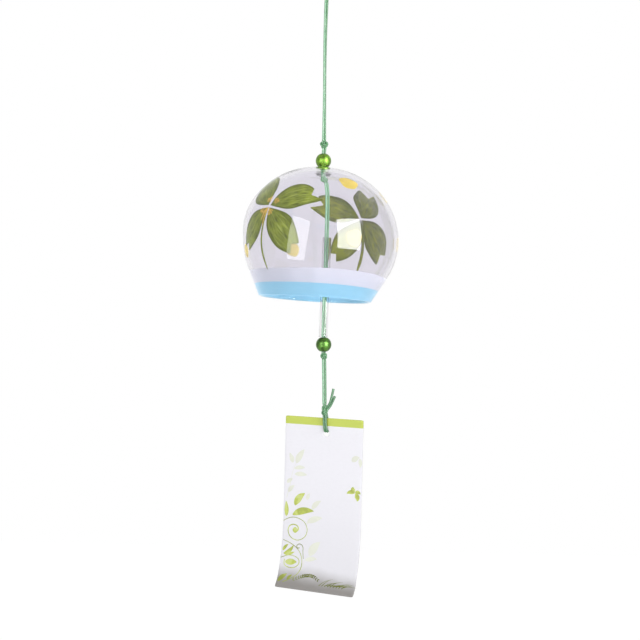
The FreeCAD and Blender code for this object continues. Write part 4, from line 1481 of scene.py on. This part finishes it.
    def print_skin(self, paper, name, colour, strokes, lift, spread=0.3):
        """Ink on the front of the card, as one thin skin. A stroke is its path, half width and steps."""
        spot = self.spot_on(paper, lift)

        def fill(made):
            layer = made.loops.layers.uv.new("sheet")
            for path, half_width, count in strokes:
                ink_stroke(made, layer, spot, path, half_width, count)

        mesh = close_mesh(name, fill, smooth=False, outward=False)
        ink = new_piece(name, mesh, "paper", ink_finish(name, colour, paper, spread))
        thicken(ink, self.INK)
        return ink

    def leaf_strokes(self, leaves):
        return [(leaf[:3], leaf_shape(leaf[3]), self.SHORT) for leaf in leaves]

    def lime_print(self, paper):
        """Lime leaves, and scrolls that grow wider along their way."""
        strokes = self.leaf_strokes(self.LIME_LEAVES)
        strokes.append((self.BIG_SCROLL, taper(0.00004, 0.00034), self.LONG))
        strokes.append((self.OVAL_SCROLL, taper(0.00006, 0.00024), self.LONG))
        strokes.append((self.LONG_ARC, taper(0.00004, 0.00022), self.LONG))
        return self.print_skin(paper, "lime_print", paper.lime, strokes, 0.00004)

    def pale_print(self, paper):
        """Pale leaves and stems, nearer to the paper's own colour."""
        pale = [part + (white - part) * 0.74 for part, white in zip(paper.lime, paper.white)]
        strokes = self.leaf_strokes(self.PALE_LEAVES)
        strokes += [(path, taper(0.00006, 0.00014), self.MEDIUM) for path in self.PALE_STEMS]
        return self.print_skin(paper, "pale_print", pale, strokes, 0.00001, 0.04)

    def outline_print(self, paper):
        """Thin darker lines beside the scrolls, and the grass at the foot."""
        scrolls = (self.BIG_SCROLL, self.LONG_ARC, self.OVAL_SCROLL, self.SMALL_CURL)
        strokes = [(path, taper(0.00017, 0.00021), self.LONG) for path in scrolls]
        for blade in range(self.GRASS_BLADES):
            root = 0.0022 + 0.0016 * blade
            tall = 0.0032 + 0.0011 * math.sin(blade * 2.1)
            tip = (root + 0.0052 + 0.0004 * blade, 0.0858 - tall * (1 - blade * 0.075))
            middle = (root + 0.0020, 0.0852 - tall * 0.55)
            strokes.append((((root, 0.0862), middle, tip), taper(0.00022, 0.00003), self.SHORT))
        strokes.append((self.GRASS_ROOTS, leaf_shape(0.00035), self.SHORT))
        return self.print_skin(paper, "outline_print", shade(paper.lime, 0.5), strokes, 0.00002)

    def leaflets(self, paper):
        """Small leaflets in pairs along a bent twig."""
        on_card = self.spot_on(paper, 0.00005)
        in_front = self.spot_on(paper, 0.001)
        spread = 0.9
        aside = 0.00045
        probe = 0.0004
        line = [Vector(point) for point in smooth_path(self.LEAFLET_PATH, 16)]
        points = []
        for here, ahead in zip(line, line[1:]):
            step = (ahead - here).normalized()
            for side in (-1, 1):
                out = Vector((-step.y, step.x)) * side
                root = here + out * aside
                tip = root + (step + out * spread) * probe
                spot = on_card(*root)
                points.append((spot, in_front(*root) - spot, on_card(*tip) - spot))
        finish = ink_finish("leaflet_print", shade(paper.lime, 0.3), paper)
        mesh = dab_mesh(points, finish, Length=0.0015, Slimness=0.5, Scatter=0.25, Least=0.7, Seed=3)
        return new_piece("leaflet_print", mesh, "paper", finish)


class FURIN_OT_stage(bpy.types.Operator):
    """Set up the floor, the soft light and the camera"""

    bl_idname = "furin.stage"
    bl_label = "Stage"

    def execute(self, context):
        stage = context.scene.furin_stage
        self.floor(stage)
        self.world(stage)
        self.soft_box(stage, "left", (-34.5, -3, -12), (0.56, 1.26), stage.left_lamp, stage.left_glint)
        self.soft_box(stage, "right", (41, 7, 0), (0.74, 0.94), stage.right_lamp, stage.right_glint)
        back = self.rectangle(stage, "back_box", (190, 8, 0), (1.5, 1.5), stage.back_lamp, stage.lamp_away)
        back.visible_glossy = False
        self.camera(stage)
        context.scene.view_settings.view_transform = "Standard"
        return {"FINISHED"}

    def floor(self, stage):
        """A wide floor. It glows to the camera, so that it looks white and yet throws no extra light."""
        cells = 24
        cell = 0.35

        def fill(made):
            steps = [(number - cells / 2) * cell for number in range(cells + 1)]
            bridge(made, [[made.verts.new((x, y, -stage.floor)) for x in steps] for y in steps])

        mesh = close_mesh("studio_floor", fill)
        finish = Finish("Studio floor", Roughness=0.85, Specular_IOR_Level=0.1, Emission_Color=(1, 1, 1, 1))
        pale = finish.over((0.93, 0.93, 0.93), (0.97, 0.97, 0.97), finish.grain(3.0), 0.2, 0.8)
        seen = finish.seen()
        finish.put("Base Color", finish.mix(seen, pale, (0.2, 0.2, 0.2)))
        finish.put("Emission Strength", finish.math("MULTIPLY", seen, 0.9))
        mesh.materials.append(finish.material)
        new_object("studio_floor", mesh)

    def world(self, stage):
        world = bpy.data.worlds.new("Studio")
        bpy.context.scene.world = world
        world.use_nodes = True
        world.node_tree.nodes.clear()
        tree = Tree(world.node_tree)
        strength = tree.smooth(tree.seen(), 0, 1, stage.daylight, 1.0)
        shader = tree.node("ShaderNodeBackground", {"Color": (1, 1, 1, 1), "Strength": strength})
        tree.node("ShaderNodeOutputWorld", {"Surface": shader.outputs[0]})

    def soft_box(self, stage, side, turns, size, light, glint):
        """A soft box in front of the bell: a lamp that gives the light, and one for its reflection."""
        lit = self.rectangle(stage, f"{side}_box", turns, size, light, stage.lamp_away)
        lit.visible_glossy = False
        seen = self.rectangle(stage, f"{side}_glint", turns, size, glint, stage.glint_away)
        seen.visible_diffuse = False

    def rectangle(self, stage, name, turns, size, brightness, away):
        """A lamp that faces the bell. turns are its degrees to the right and up, and how far it leans."""
        azimuth, height, lean = (math.radians(angle) for angle in turns)
        level = math.cos(height)
        out = Vector((math.sin(azimuth) * level, -math.cos(azimuth) * level, math.sin(height)))
        lamp = bpy.data.lights.new(name, "AREA")
        lamp.shape = "RECTANGLE"
        lamp.size, lamp.size_y = size
        lamp.energy = brightness * math.pi * size[0] * size[1]
        holder = new_object(name, lamp)
        holder.location = Vector(stage.aim) + out * away
        facing = out.to_track_quat("Z", "Y").to_matrix() @ Matrix.Rotation(lean, 3, "Z")
        holder.rotation_euler = facing.to_euler()
        holder.visible_transmission = False
        return holder

    def camera(self, stage):
        data = bpy.data.cameras.new("Camera")
        data.sensor_width = 36.0
        data.lens = data.sensor_width * -stage.camera[1] / stage.span
        camera = new_object("Camera", data)
        level = Matrix.Translation(Vector(stage.camera)) @ Matrix.Rotation(math.radians(90), 4, "X")
        camera.matrix_world = level @ Matrix.Rotation(stage.roll, 4, "Z")
        bpy.context.scene.camera = camera


class FURIN_PT_panel(bpy.types.Panel):
    """The pieces of the wind bell"""

    bl_label = "Furin wind bell"
    bl_idname = "FURIN_PT_panel"
    bl_space_type = "VIEW_3D"
    bl_region_type = "UI"
    bl_category = "Furin"

    def draw(self, context):
        for operator in OPERATORS:
            self.layout.operator(operator.bl_idname)
        for group in SIZE_GROUPS:
            for name in SIZE_GROUPS[group].__annotations__:
                self.layout.prop(getattr(context.scene, group), name)


SIZE_GROUPS = {
    "furin_bell": FurinBellSizes,
    "furin_cord": FurinCordSizes,
    "furin_beads": FurinBeadSizes,
    "furin_paper": FurinPaperSizes,
    "furin_stage": FurinStageSizes,
}
OPERATORS = [
    FURIN_OT_stage,
    FURIN_OT_cord,
    FURIN_OT_glass_bell,
    FURIN_OT_painting,
    FURIN_OT_beads,
    FURIN_OT_clapper,
    FURIN_OT_paper,
]


def register():
    for group, kind in SIZE_GROUPS.items():
        bpy.utils.register_class(kind)
        setattr(bpy.types.Scene, group, PointerProperty(type=kind))
    for kind in (*OPERATORS, FURIN_PT_panel):
        bpy.utils.register_class(kind)


def unregister():
    for kind in (FURIN_PT_panel, *reversed(OPERATORS)):
        bpy.utils.unregister_class(kind)
    for group, kind in SIZE_GROUPS.items():
        delattr(bpy.types.Scene, group)
        bpy.utils.unregister_class(kind)


def main():
    register()
    for operator in OPERATORS:
        family, name = operator.bl_idname.split(".")
        getattr(getattr(bpy.ops, family), name)()


if __name__ == "__main__":
    main()
